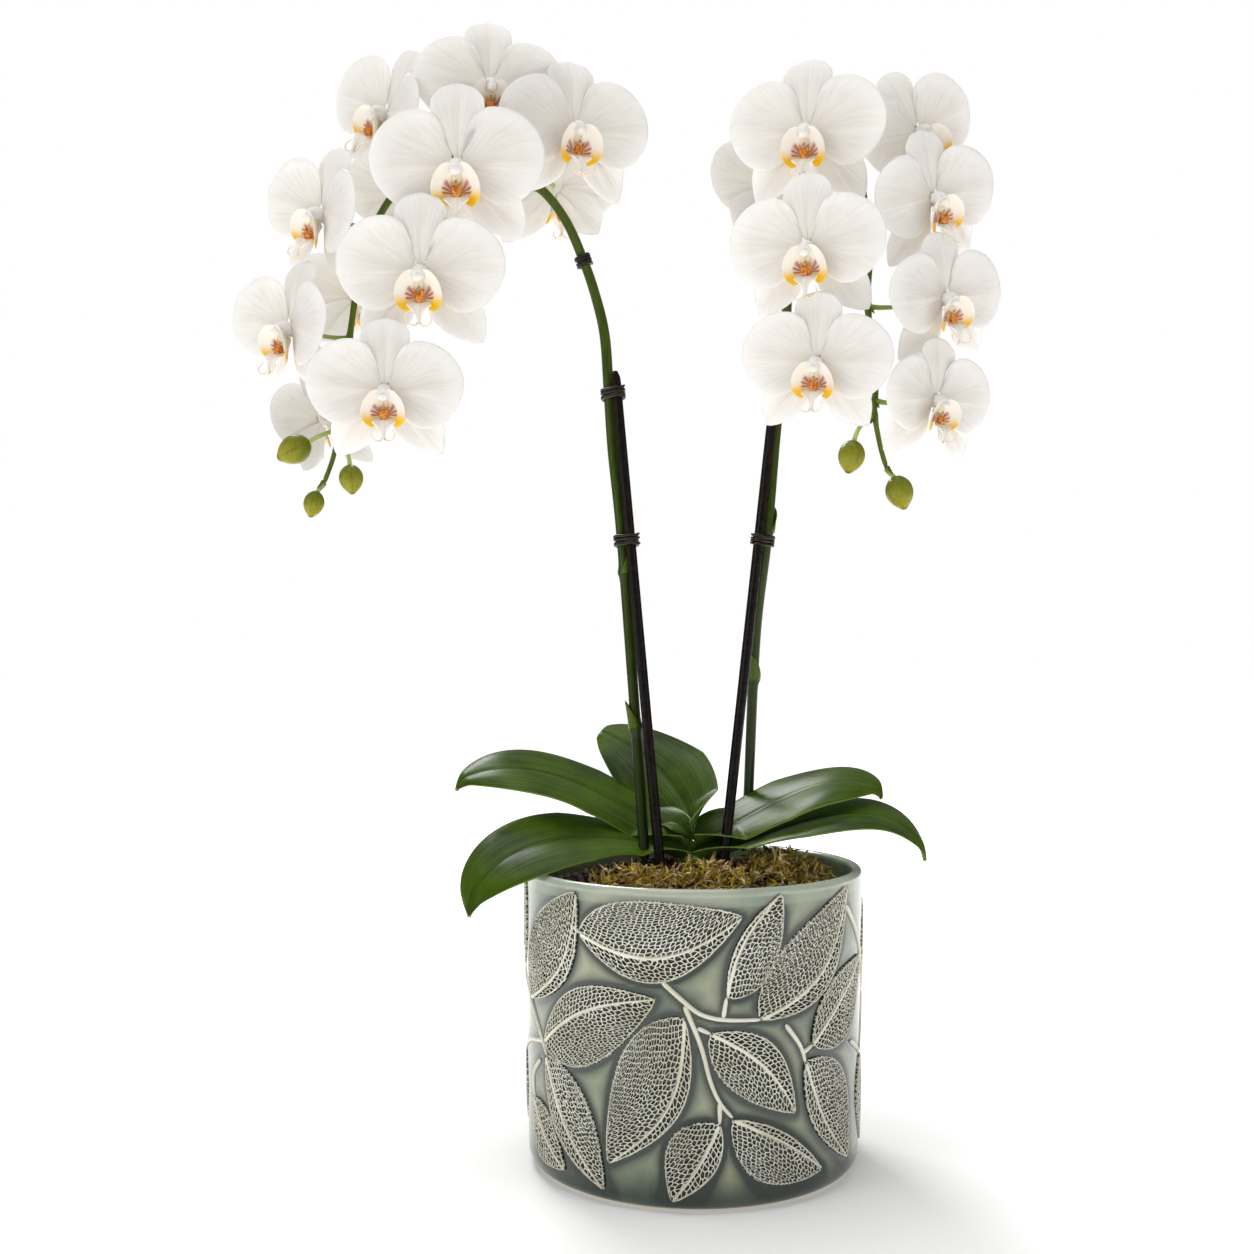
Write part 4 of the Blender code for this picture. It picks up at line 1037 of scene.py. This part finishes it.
def add_bract(piece, place, along, out, length, width, radius):
    """A pointed scale that clasps the spike at a joint."""
    t = np.linspace(0, 1, 9)[:, None]
    s = np.linspace(-1, 1, 7)[None]
    wrap = width * (1 - t) ** 0.7 * s
    side = np.cross(along, out)
    reach = (radius * 1.08 + 0.0011 * t**1.5)[..., None]
    middle = (np.array(place) + np.array(along) * (t * length)[..., None]
              + np.array(out) * np.cos(wrap)[..., None] * reach + side * np.sin(wrap)[..., None] * reach)
    points, faces = closed_sheet(middle, 0.0005)
    piece.add(points, faces, np.tile((0.8, 0, 0.0), (len(points), 1)))


def stalk_start(line, end, arriving):
    """Where a flower's stalk leaves the spike, the way it leaves, and the way out of the spike."""
    first, last = int(len(line) * 0.45), len(line) - 1
    behind = end - arriving * 0.015
    nearest = min(range(first, last + 1), key=lambda i: (line[i] - behind).length)
    along = (line[min(nearest + 1, last)] - line[nearest - 1]).normalized()
    way = end - line[nearest]
    out = (way - along * way.dot(along)).normalized()
    if nearest >= last - 2:
        return line[last], along, out
    return line[nearest], (out + along * 0.3).normalized(), out


def frame_facing(place, turn, tilt, roll, size):
    return (Matrix.Translation(place) @ Matrix.Rotation(math.radians(turn), 4, "Z")
            @ Matrix.Rotation(math.radians(-tilt), 4, "X") @ Matrix.Rotation(math.radians(90), 4, "X")
            @ Matrix.Rotation(math.radians(-roll), 4, "Z") @ Matrix.Scale(size, 4))


def stalk_ends(side):
    """Every flower and bud of a spike, with the end of its stalk and the way it arrives there."""
    ends = []
    for name, (place, size, turn, tilt, roll) in FLOWERS.items():
        if f"_{side}_" in name:
            frame_of = frame_facing(over_rim(place), turn, tilt, roll, FLOWER_SPAN * size)
            facing = (frame_of.to_3x3() @ Vector((0, 0, 1))).normalized()
            ends.append((name, frame_of @ Vector((0, 0, -0.01)), facing))
    for name, (place, length, _, tip) in BUDS.items():
        if f"_{side}_" in name:
            tip = Vector(tip).normalized()
            ends.append((name, over_rim(place) - tip * length * 0.35, tip))
    return ends


def build_stalk(name, start, leaving, end, facing):
    reach = (end - start).length * 0.4
    curve = [start, start + leaving * reach, end - facing * reach, end]
    t = np.linspace(0, 1, 18)
    thick = PEDICEL_RADIUS * (1 + 0.45 * np.exp(-t * 9) + 0.15 * t**4)
    stalk = Piece()
    stalk.add(*tube([bezier(curve, share)[0] for share in t], rounded(thick, 1), 12))
    stalk.make("stalk_" + name, [STALK_SKIN], "stem_green")


def build_spike(side, points):
    line, radii = spike_line(points, 0.003)
    lengths = np.cumsum([0] + [(b - a).length for a, b in zip(line, line[1:])])
    # each bract's place along the line, the way it faces, its length, and how far round it wraps
    bracts = []
    for at in SPIKE_JOINTS[side]:
        out = Vector((math.cos(at * 40), math.sin(at * 40), 0))
        bracts.append((int(np.argmin(abs(lengths - at))), out, 0.017, 2.4))
    for name, end, facing in stalk_ends(side):
        start, leaving, out = stalk_start(line, end, facing)
        build_stalk(name, start, leaving, end, facing)
        i = min(range(len(line)), key=lambda k: (line[k] - start).length)
        bracts.append((i, out, 0.0055, 1.5))
    piece = Piece()
    swell = np.ones(len(line))
    for i, out, length, width in bracts:
        swell = np.maximum(swell, 1 + 0.32 * np.exp(-((lengths - lengths[i]) / 0.0028) ** 2))
        along = (line[min(i + 1, len(line) - 1)] - line[max(i - 1, 0)]).normalized()
        out = (out - along * out.dot(along)).normalized()
        add_bract(piece, line[i] - along * 0.001, along, out, length, width, radii[i] * 1.25)
    ridges = 1 + 0.025 * np.cos(5 * np.linspace(0, 2 * math.pi, 20, endpoint=False))[None]
    piece.add(*tube(line, rounded(radii * swell, 2), 20, ridges))
    piece.make(f"orchid_spike_{side}", [SPIKE_SKIN], "stem_green", f"flower_spike_{side}")


for spike_side, spike_points in (("left", LEFT_SPIKE), ("right", RIGHT_SPIKE)):
    build_spike(spike_side, spike_points)


def build_cane(name):
    start, end = cane_line(name)
    steps, sides = 90, 28
    line = [start.lerp(end, t) for t in np.linspace(0, 1, steps)]
    angle = np.linspace(0, 2 * math.pi, sides, endpoint=False)
    grain = 1 + 0.018 * np.cos(7 * angle)[None] + 0.01 * rng.standard_normal((1, sides))
    piece = Piece()
    piece.add(*tube(line, rounded(np.full(steps, CANE_RADIUS), 2), sides, grain))
    piece.make("bamboo_" + name, [CANE], "cane_brown", name)


for cane_name in CANES:
    build_cane(cane_name)


def build_tie(name, height, spike, cane):
    """Two doubled loops of wire round the spike and its cane, their ends twisted off to the right."""
    line = spike_line(spike, 0.017)[0]
    first, axis = place_at_height(line, POT_HEIGHT + height)
    second, radius = first, SPIKE_BASE_RADIUS
    if cane:
        start, end = cane_line(cane)
        second = place_at_height([start, end], POT_HEIGHT + height)[0]
        axis = (axis + (end - start).normalized()).normalized()
    apart = second - first
    apart -= axis * apart.dot(axis)
    across = apart.normalized() if apart.length > 1e-5 else axis.orthogonal().normalized()
    deep = axis.cross(across)
    wire = TIE_WIRE_RADIUS
    piece = Piece()
    for turn, level in enumerate((-1.55, -0.55, 0.75, 1.75)):
        loop = []
        for centre, offset in ((second, -90), (first, 90)):
            for i in range(13):
                a = math.radians(offset + 180 * i / 12)
                round_stem = (across * math.cos(a) + deep * math.sin(a)) * (radius + wire * 1.02)
                lean = 0.0004 * math.sin(a + turn) * (1 if turn % 2 else -1)
                loop.append(centre + round_stem + axis * (level * wire * 1.55 + lean))
        piece.add(*tube(loop + loop[:2], wire, 10))
    right = across if across.x > 0 else -across
    front = -deep if (-deep).y < 0 else deep
    corner = (second if cane and (second - first).dot(right) > 0 else first) + right * (radius + wire)
    for level, swing in ((-1.1, -0.35), (0.2, 0.25), (1.3, 0.5)):
        base = corner + axis * (level * wire * 1.55) - right * wire * 1.5
        line = [base + right * (0.0042 * t) + axis * (swing * 0.003 * t**2)
                + front * (0.0012 * math.sin(4 * t)) for t in np.linspace(0, 1, 8)]
        piece.add(*tube(line, rounded(np.full(8, wire * 0.95), 2), 10))
    piece.make("wire_" + name, [TIE], "tie_brown", name)


for tie_name, (tie_height, tie_spike, tie_cane) in TIES.items():
    build_tie(tie_name, tie_height, tie_spike, tie_cane)


# ---------------------------------------------------------------- buds
def build_bud(name):
    """A plump bud: three sepals shut edge to edge, with seams between them and a nipped tip."""
    place, length, width, tip = BUDS[name]
    tip = Vector(tip).normalized()
    turned = Matrix.Translation(over_rim(place)) @ tip.to_track_quat("Z", "Y").to_matrix().to_4x4()
    rows, cols = 44, 60
    v = np.linspace(0.02, 0.995, rows)[:, None]
    angle = np.linspace(0, 2 * math.pi, cols, endpoint=False)[None]
    profile = np.sin(math.pi * v**0.97) ** 0.52 * (1.03 - 0.14 * v)
    seam = np.abs(((angle / (2 * math.pi) * 3) % 1) - 0.5) * 2
    groove = 1 - 0.07 * smoothstep(0.14, 0.0, 1 - seam) * np.sin(math.pi * v)
    groove = groove + 0.035 * np.cos(3 * angle + math.pi) * v
    radius = width / 2 * profile * groove
    beak = 0.035 * length * smoothstep(0.93, 1.0, v)
    height = length * (v - 0.5) + beak
    points = np.stack(np.broadcast_arrays(radius * np.cos(angle), radius * np.sin(angle), height), -1)
    points = points.reshape(-1, 3) @ np.array(turned.to_3x3()).T + np.array(turned.translation)
    faces = grid_faces(rows, cols, wrap=True)
    faces += [tuple(range(cols))[::-1], tuple(range((rows - 1) * cols, rows * cols))]
    browned = smoothstep(0.93, 1.0, v) * 0.6 + 0.40 * smoothstep(0.09, 0.0, 1 - seam)
    marks = np.stack(np.broadcast_arrays(v, angle / (2 * math.pi), browned), -1)
    piece = Piece()
    piece.add(points, faces, marks)
    piece.make("orchid_" + name, [BUD_SKIN], "bud_green", name)


for bud_name in BUDS:
    build_bud(bud_name)


# ---------------------------------------------------------------- leaves
def build_leaf(name, leaf):
    angle, height, near_foot, near_tip, tip, width, roll, fold, narrows = leaf
    out = 0.25 * CROWN_RADIUS
    foot = (out * math.cos(math.radians(angle)), out * math.sin(math.radians(angle)), height - 0.007)
    past_rim = [(x * POT_RADIUS, y * POT_RADIUS, z) for x, y, z in (near_tip, tip)]
    points = [over_rim(p) for p in (foot, near_foot, *past_rim)]
    rows, cols = 96, 37
    s = np.linspace(-1, 1, cols)
    middle = np.zeros((rows, cols, 3))
    for i in range(rows):
        t = 1 - (1 - i / (rows - 1)) ** 1.25
        place, along = bezier(points, t)
        across = along.cross(Vector((0, 0, 1))).normalized()
        across.rotate(Matrix.Rotation(math.radians(-roll), 3, along))
        up = across.cross(along)
        grown = 0.46 + 0.54 * min(1.0, t / 0.45) ** 1.1
        blunt = max(0.0, 1 - max(0.0, (t - narrows) / (1 - narrows)) ** 2.2) ** 0.7
        half = max(width / 2 * grown * blunt, 0.0006)
        bend = math.radians(fold) * (1 - 0.7 * t) + math.radians(58) * max(0, 0.22 - t) / 0.22
        wave = 0.0012 * np.sin(9 * t + 2.0 * s + angle) * np.abs(s) ** 1.5
        furrow = -0.0005 * np.exp(-(s * half / 0.0014) ** 2)
        droop = -0.004 * max(0.0, (t - 0.955) / 0.045) ** 2
        rise = np.abs(s) ** 1.15 * half * math.sin(bend) - 0.0030 * (np.abs(s) ** 3) * (half / 0.028)
        rise = rise + wave + furrow
        middle[i] = (np.array(place) + (0, 0, droop) + np.array(across) * (s * half * math.cos(bend))[:, None]
                     + np.array(up) * rise[:, None])
    thick = LEAF_THICKNESS * (1 - 0.72 * np.abs(s) ** 2)[None] * np.ones((rows, 1))
    points, faces = closed_sheet(middle[:, ::-1], thick)
    share = np.broadcast_to(np.linspace(0, 1, rows)[:, None], (rows, cols))
    side = np.broadcast_to(s[::-1][None], (rows, cols))
    marks = np.stack([share, side, np.zeros((rows, cols))], -1).reshape(-1, 3)
    under = marks + (0, 0, 0.75)
    on_midrib = cols * 40 + 18
    upper_is_first = (points[on_midrib] - points[rows * cols + on_midrib])[2] > 0
    marks = np.concatenate([marks, under] if upper_is_first else [under, marks])
    piece = Piece()
    piece.add(points, faces, marks)
    piece.make("orchid_" + name, [LEAF], "leaf_green", name)


for leaf_name, leaf_shape in LEAVES.items():
    build_leaf(leaf_name, leaf_shape)


def build_crown():
    """The short stem that the leaves sheathe, hidden among their feet."""
    line = [(0, 0, MIX_EDGE + MIX_CROWNING - 0.008 + 0.0135 * t) for t in np.linspace(0, 1, 16)]
    radii = rounded(np.linspace(0.0105, 0.0085, 16), 5)
    angle = np.linspace(0, 2 * math.pi, 36, endpoint=False)
    piece = Piece()
    piece.add(*tube(line, radii, 36, 1 + 0.08 * np.cos(5 * angle)[None]))
    piece.make("sheathed_crown", [SPIKE_SKIN], "crown_green", "crown_and_roots")


build_crown()


# ---------------------------------------------------------------- flowers
def bent(distance, curvature):
    return np.sin(curvature * distance) / curvature, (1 - np.cos(curvature * distance)) / curvature


def turned_about(points, axis, degrees):
    return points @ np.array(Matrix.Rotation(math.radians(degrees), 3, axis)).T


# Each blade is a fan from its foot. Its outline gives, for shares of the way round the fan
# from one edge to the other, how far out the rim lies, in flower spans.
PETAL_OUTLINE = [
    (-1, 0.13), (-0.97, 0.21), (-0.85, 0.305), (-0.667, 0.368), (-0.453, 0.418), (-0.233, 0.455),
    (-0.06, 0.478), (0.097, 0.489), (0.253, 0.482), (0.44, 0.452), (0.632, 0.408), (0.814, 0.352),
    (0.953, 0.285), (1.0, 0.20),
]
DORSAL_OUTLINE = [
    (-1, 0.22), (-0.92, 0.335), (-0.75, 0.392), (-0.45, 0.430), (0, 0.447), (0.45, 0.430),
    (0.75, 0.392), (0.92, 0.335), (1, 0.22),
]
LATERAL_OUTLINE = [
    (-1, 0.20), (-0.9, 0.30), (-0.7, 0.375), (-0.45, 0.435), (-0.22, 0.482), (-0.08, 0.512), (0, 0.524),
    (0.08, 0.508), (0.22, 0.466), (0.45, 0.395), (0.7, 0.325), (0.9, 0.265), (1, 0.18),
]
LOBE_OUTLINE = [
    (-1, 0.125), (-0.85, 0.172), (-0.5, 0.200), (-0.15, 0.190), (0.2, 0.162), (0.6, 0.128),
    (0.85, 0.108), (1, 0.075),
]
# name: outline, foot, turn clockwise from up, widest fan each way, lift, curl, cup, crease, rows, columns
TEPALS = {
    "dorsal": (DORSAL_OUTLINE, (0, 0.010, -0.020), 0, (30, 30), 2, -0.5, 1.2, 0.010, 30, 37),
    "lateral_right": (LATERAL_OUTLINE, (0.010, -0.010, -0.022), 139, (33, 33), 0, -0.7, 1.2, -0.014, 30, 33),
    "lateral_left": (LATERAL_OUTLINE, (-0.010, -0.010, -0.022), -139, (33, 33), 0, -0.7, 1.2, -0.014, 30, 33),
    "petal_right": (PETAL_OUTLINE, (0.010, 0.004, -0.004), 88, (72, 60), 9, -0.5, 0.30, -0.012, 34, 57),
    "petal_left": (PETAL_OUTLINE, (-0.010, 0.004, -0.004), -88, (72, 60), 9, -0.5, 0.30, -0.012, 34, 57),
}


def outline_radius(outline, shares):
    """The outline read smoothly at the given shares of the fan."""
    places, reaches = zip(*outline)
    fine = np.interp(np.linspace(-1, 1, 241), places, reaches)
    for _ in range(3):
        fine[1:-1] = (fine[:-2] + 2 * fine[1:-1] + fine[2:]) / 4
    return np.interp(shares, np.linspace(-1, 1, 241), fine)


def tepal(shape, chance, closed):
    """A petal or sepal as a grid, with its veins' coordinates, in flower spans."""
    outline, foot, turn, fan, lift, curl, cup, crease, rows, cols = shape
    s = np.sin(np.linspace(-1, 1, cols) * math.pi / 2)
    t = np.linspace(0.045, 1, rows)[:, None] ** 0.9
    rim = outline_radius(outline, s)[None]
    narrow = 0.72 + 0.28 * smoothstep(0.0, 0.42, t)
    spread = np.where(s > 0, fan[0], fan[1])[None] * s[None] * narrow
    mirrored = 1 if turn > 0 else -1
    # the upper side of the fan is anticlockwise on the right-hand blades
    angle = np.radians(-spread * mirrored if outline is PETAL_OUTLINE else spread * mirrored)
    reach = rim * t
    curl = curl * (1 + 0.4 * chance.uniform(-1, 1))
    cup = cup * (1 + 0.4 * chance.uniform(-1, 1))
    along, rise = bent(reach * np.cos(angle), curl)
    across, side_rise = bent(reach * np.sin(angle), cup)
    phase = chance.uniform(0, 6.28)
    ripple = 0.0055 * np.sin(4.2 * s[None] + phase) * t**2 + 0.0028 * np.sin(11 * s[None] + 2 * phase) * t**4
    folded = crease * (1 - np.exp(-((s[None] / 0.16) ** 2))) * np.sin(math.pi * np.minimum(t, 0.92))
    rolled = -0.010 * t**8
    points = np.stack([across, along, rise + side_rise + ripple + folded + rolled], -1)
    points = turned_about(points, "X", lift + closed + 3 * chance.uniform(-1, 1))
    points = turned_about(points, "Z", -turn + 2.5 * chance.uniform(-1, 1))
    points = points + np.array(foot)
    thick = 0.0125 * (1 - 0.72 * t**1.5) * (1 - 0.25 * np.abs(s[None]) ** 3) * np.ones_like(rim)
    marks = np.stack(np.broadcast_arrays(s[None], t, phase), -1)
    return points, thick, marks


def add_sheet(piece, middle, thick, marks, finish):
    """Adds a closed sheet whose first face looks the way the flower does."""
    if np.cross(np.gradient(middle, axis=0), np.gradient(middle, axis=1))[..., 2].sum() < 0:
        middle, thick, marks = middle[:, ::-1], thick[:, ::-1], marks[:, ::-1]
    points, faces = closed_sheet(middle, thick)
    marks = marks.reshape(-1, 3)
    piece.add(points, faces, np.concatenate([marks, marks]), finish)


def lip_lobe(side):
    """One of the lip's two cupped side lobes, yellow low down, striped near its foot and in painted warm
    shade there.
    """
    rows, cols = 22, 27
    s = np.sin(np.linspace(-1, 1, cols) * math.pi / 2)[None]
    t = np.linspace(0.06, 1, rows)[:, None]
    reach = outline_radius(LOBE_OUTLINE, s[0])[None] * t
    angle = np.radians(76 * s)
    along, rise = bent(reach * np.cos(angle), 3.2)
    across, side_rise = bent(reach * np.sin(angle), 3.6)
    points = np.stack([across, along, rise + side_rise], -1)
    points = turned_about(points, "X", 28)
    points = turned_about(points, "Z", -68)
    points = points + np.array((0.016, -0.152, 0.008))
    low = smoothstep(-0.122, -0.192, points[..., 1]) * smoothstep(0.15, 0.5, t)
    # painted warm shade near the lobe's foot, carried in the third mark
    deep = smoothstep(0.55, 0.12, t) * 0.5 * smoothstep(-1.1, 0.2, s)
    stripes = sum(np.exp(-(((s - at) / 0.065) ** 2)) for at in (-0.30, -0.02, 0.26))
    stripes = stripes * smoothstep(0.56, 0.44, t) * smoothstep(0.06, 0.2, t)
    marks = np.stack(np.broadcast_arrays(low, np.clip(1.6 * stripes, 0, 1), deep), -1)
    thick = 0.010 * (1 - 0.55 * t**2) * np.ones_like(s)
    if side < 0:
        points = points * (-1, 1, 1)
    return points, thick, marks


def mid_lobe():
    """The lip's middle lobe: an arrowhead keel that reaches forward and down."""
    rows, cols = 30, 19
    t = np.linspace(0, 1, rows)[:, None]
    s = np.linspace(-1, 1, cols)[None]
    half = 0.020 + 0.056 * np.exp(-((t - 0.36) / 0.20) ** 2) * (1 - 0.2 * t) - 0.012 * smoothstep(0.6, 1.0, t)
    down = -0.155 - 0.150 * t + 0.012 * np.sin(math.pi * t)
    forward = 0.030 + 0.085 * np.sin(t * 1.9)
    flare = 0.020 * np.abs(s) ** 1.4 * np.exp(-((t - 0.40) / 0.25) ** 2)
    keel = 0.014 * np.exp(-((s / 0.22) ** 2)) * smoothstep(0.05, 0.3, t)
    sag = -0.6 * half * s**2 * smoothstep(0.5, 0.0, t)
    points = np.stack(np.broadcast_arrays(half * s, down + 0.3 * flare, forward + flare + keel + sag), -1)
    yellow = smoothstep(0.30, 0.05, t) * (0.5 + 0.5 * np.abs(s))
    # the third mark is painted shade along the lobe's middle
    marks = np.stack(np.broadcast_arrays(yellow, 0.0, 0.12 * np.exp(-((s / 0.5) ** 2))), -1)
    return points, np.broadcast_to(0.010 * (1 - 0.4 * t), (rows, cols)), marks


def add_tube(piece, line, radii, finish, mark, sides=10):
    """Adds a round-ended fleshy rod, a step of 0.006 spans or less along its path."""
    reach = sum((Vector(b) - Vector(a)).length for a, b in zip(line, line[1:]))
    path = smooth_line(line, min(0.006, reach / 9))
    radii = np.interp(np.linspace(0, 1, len(path)), np.linspace(0, 1, len(radii)), radii)
    points, faces, _ = tube(path, rounded(radii, 3), sides)
    piece.add(points, faces, np.tile(mark, (len(points), 1)), finish)


PETAL_FLESH, LIP_FLESH, CALLUS_FLESH = 0, 1, 2  # a flower's finishes, in its mesh's order
# the column takes half of the petals' painted backlit glow at the rim
COLUMN_MARK = (0.5, 0.95, 0.0)  # as pale as a petal near its rim


def add_column(piece):
    """The column over the throat: its body, its cap, its underside in painted shade with a yellow speck of
    pollen at the tip, and the claw under it that carries the lip, partly in painted shade."""
    add_tube(piece, [(0, 0.002, -0.030), (0, -0.002, 0.010), (0, -0.006, 0.045), (0, -0.024, 0.085),
                     (0, -0.036, 0.100)],
             [0.034, 0.040, 0.045, 0.047, 0.036], PETAL_FLESH, COLUMN_MARK, 22)
    add_tube(piece, [(0, -0.030, 0.094), (0, -0.046, 0.104), (0, -0.062, 0.100)],
             [0.026, 0.032, 0.022], PETAL_FLESH, COLUMN_MARK, 18)
    # the underside's third mark is painted shade
    add_tube(piece, [(0, -0.050, 0.030), (0, -0.082, 0.056), (0, -0.094, 0.078)],
             [0.030, 0.029, 0.018], LIP_FLESH, (0.12, 0, 0.5), 18)
    add_tube(piece, [(0, -0.074, 0.1045), (0, -0.078, 0.107)],
             [0.0030, 0.0040, 0.0030], LIP_FLESH, (1.0, 0.1, 0), 8)
    # the claw is yellowish and partly in painted shade
    add_tube(piece, [(0, -0.060, 0.0), (0, -0.110, 0.012), (0, -0.165, 0.035)],
             [0.030, 0.026, 0.030], LIP_FLESH, (0.35, 0, 0.4), 16)


def add_throat(piece, chance):
    """The callus, a freckled cushion with two horns up and a tongue down, and the two curled
    tendrils at the tip of the middle lobe."""
    add_tube(piece, [(0, -0.128, 0.040), (0, -0.150, 0.062), (0, -0.182, 0.066), (0, -0.214, 0.070)],
             [0.024, 0.034, 0.021, 0.006], CALLUS_FLESH, (0, 0, 0), 14)
    for side in (1, -1):
        add_tube(piece, [(side * 0.008, -0.150, 0.062), (side * 0.018, -0.126, 0.074),
                         (side * 0.030, -0.098, 0.082)],
                 [0.016, 0.012, 0.003], CALLUS_FLESH, (0, 0, 0))
        add_tube(piece, [(side * 0.006, -0.135, 0.060), (side * 0.010, -0.118, 0.076)],
                 [0.010, 0.004], CALLUS_FLESH, (0, 0, 0), 8)
        wave = 0.012 * chance.uniform(-1, 1)
        add_tube(piece, [(side * 0.005, -0.292, 0.108), (side * 0.020, -0.314, 0.122),
                         (side * 0.052, -0.312 + wave, 0.138), (side * 0.074, -0.284 + wave, 0.142),
                         (side * 0.070, -0.252, 0.130 + wave), (side * 0.052, -0.244, 0.118)],
                 [0.0075, 0.0062, 0.0050, 0.0042, 0.0034, 0.0022], LIP_FLESH, (0.25, 0, 0.0), 8)


def flower(chance, closed):
    """A whole flower in spans: five tepals, the three-lobed lip, its callus and the column. Its
    petals come forward by the given degrees more."""
    piece = Piece()
    for name, shape in TEPALS.items():
        add_sheet(piece, *tepal(shape, chance, closed if "petal" in name else 0), PETAL_FLESH)
    add_tube(piece, [(0, 0, -0.060), (0, 0, -0.040), (0, 0, -0.014)],
             [0.020, 0.058, 0.050], PETAL_FLESH, (0.3, 0.3, 0), 20)
    for side in (1, -1):
        add_sheet(piece, *lip_lobe(side), LIP_FLESH)
    add_sheet(piece, *mid_lobe(), LIP_FLESH)
    add_column(piece)
    add_throat(piece, chance)
    return piece


def build_flower(name):
    place, size, turn, tilt, roll = FLOWERS[name]
    chance = random.Random(name)
    piece = flower(chance, 13 if -60 < turn < -30 else 0)
    matrix = np.array(frame_facing(over_rim(place), turn, tilt, roll, FLOWER_SPAN * size))
    piece.points = [part @ matrix[:3, :3].T + matrix[:3, 3] for part in piece.points]
    piece.make("orchid_" + name, [PETAL, LIP, CALLUS], "petal_white", name)


for flower_name in FLOWERS:
    build_flower(flower_name)


# ---------------------------------------------------------------- stage, lights and camera
def paper_finish():
    """Seamless backdrop paper: matte white, with a painted glow: it emits light itself, least next to the pot
    and more the further it runs from it.
    """
    made, tree, shader = finish_of("white_backdrop_paper", Base_Color=hex_colour("#f2f2f1"), Roughness=0.9,
                                   Emission_Color=hex_colour("#ffffff"))
    where = node(tree, "ShaderNodeTexCoord").outputs["Object"]
    reach = node(tree, "ShaderNodeVectorMath", {0: where}, operation="LENGTH").outputs["Value"]
    # painted light: the floor glows by itself, least next to the pot
    painted_floor_glow = node(tree, "ShaderNodeMapRange", {0: reach, 1: 0.095, 2: 0.45, 3: 0.20, 4: 0.85},
                interpolation_type="SMOOTHSTEP").outputs[0]
    tree.links.new(painted_floor_glow, shader.inputs["Emission Strength"])
    return made


# name: place, side, watts
LAMPS = {
    "window_behind": ((-0.5, 1.1, 1.55), 0.6, 17.0),
    "overhead": ((-0.2, -0.1, 1.9), 1.2, 11.0),
    "front_left": ((-1.5, -1.1, 0.9), 0.7, 5.2),
    "front_right": ((1.5, -1.0, 0.7), 0.6, 2.4),
}
LAMP_TARGET = Vector((-0.03, 0.0, 0.33))
FLOOR_RADIUS = 14.0
CAMERA_PLACE = (-0.0373, -0.868, 0.2886)


def build_floor():
    around = 96
    angles = [2 * math.pi * i / around for i in range(around)]
    floor = Piece()
    floor.add([(FLOOR_RADIUS * math.cos(a), FLOOR_RADIUS * math.sin(a), -0.0004) for a in angles],
              [tuple(range(around))])
    paper = paper_finish()
    object_of("studio_floor", floor.mesh("studio_floor", [paper]))


def build_world():
    """The studio: a white sweep behind, and dimmer, softly graded light all round."""
    world = bpy.data.worlds.new("pale_studio")
    world.use_nodes = True
    tree = world.node_tree
    way = node(tree, "ShaderNodeTexCoord").outputs["Generated"]
    height = node(tree, "ShaderNodeSeparateXYZ", {0: way}).outputs["Z"]
    graded = node(tree, "ShaderNodeMapRange", {0: height, 1: -0.2, 2: 0.9, 3: 0.06, 4: 0.42}).outputs[0]
    seen = node(tree, "ShaderNodeLightPath").outputs["Is Camera Ray"]
    strength = node(tree, "ShaderNodeMix", {0: seen, 2: graded, 3: 1.0}).outputs[0]
    tree.links.new(strength, tree.nodes["Background"].inputs["Strength"])
    tree.nodes["Background"].inputs["Color"].default_value = (1.0, 1.0, 1.0, 1.0)
    bpy.context.scene.world = world
    bpy.context.scene.view_settings.view_transform = "Standard"


def build_lamp(name, place, size, power):
    lamp = bpy.data.lights.new(name, "AREA")
    lamp.size = size
    lamp.energy = power
    lit = object_of(name, lamp)
    lit.location = place
    lit.rotation_euler = (LAMP_TARGET - Vector(place)).to_track_quat("-Z", "Y").to_euler()


def build_camera():
    camera = bpy.data.cameras.new("portrait_camera")
    camera.lens = 43.92
    camera.sensor_width = 36.0
    camera.shift_y = 0.0148
    camera.clip_end = 60.0
    eye = object_of("portrait_camera", camera)
    eye.location = CAMERA_PLACE
    eye.rotation_euler = (math.radians(90), 0, 0)
    bpy.context.scene.camera = eye


build_floor()
build_world()
for lamp_name, lamp_values in LAMPS.items():
    build_lamp(lamp_name, *lamp_values)
build_camera()
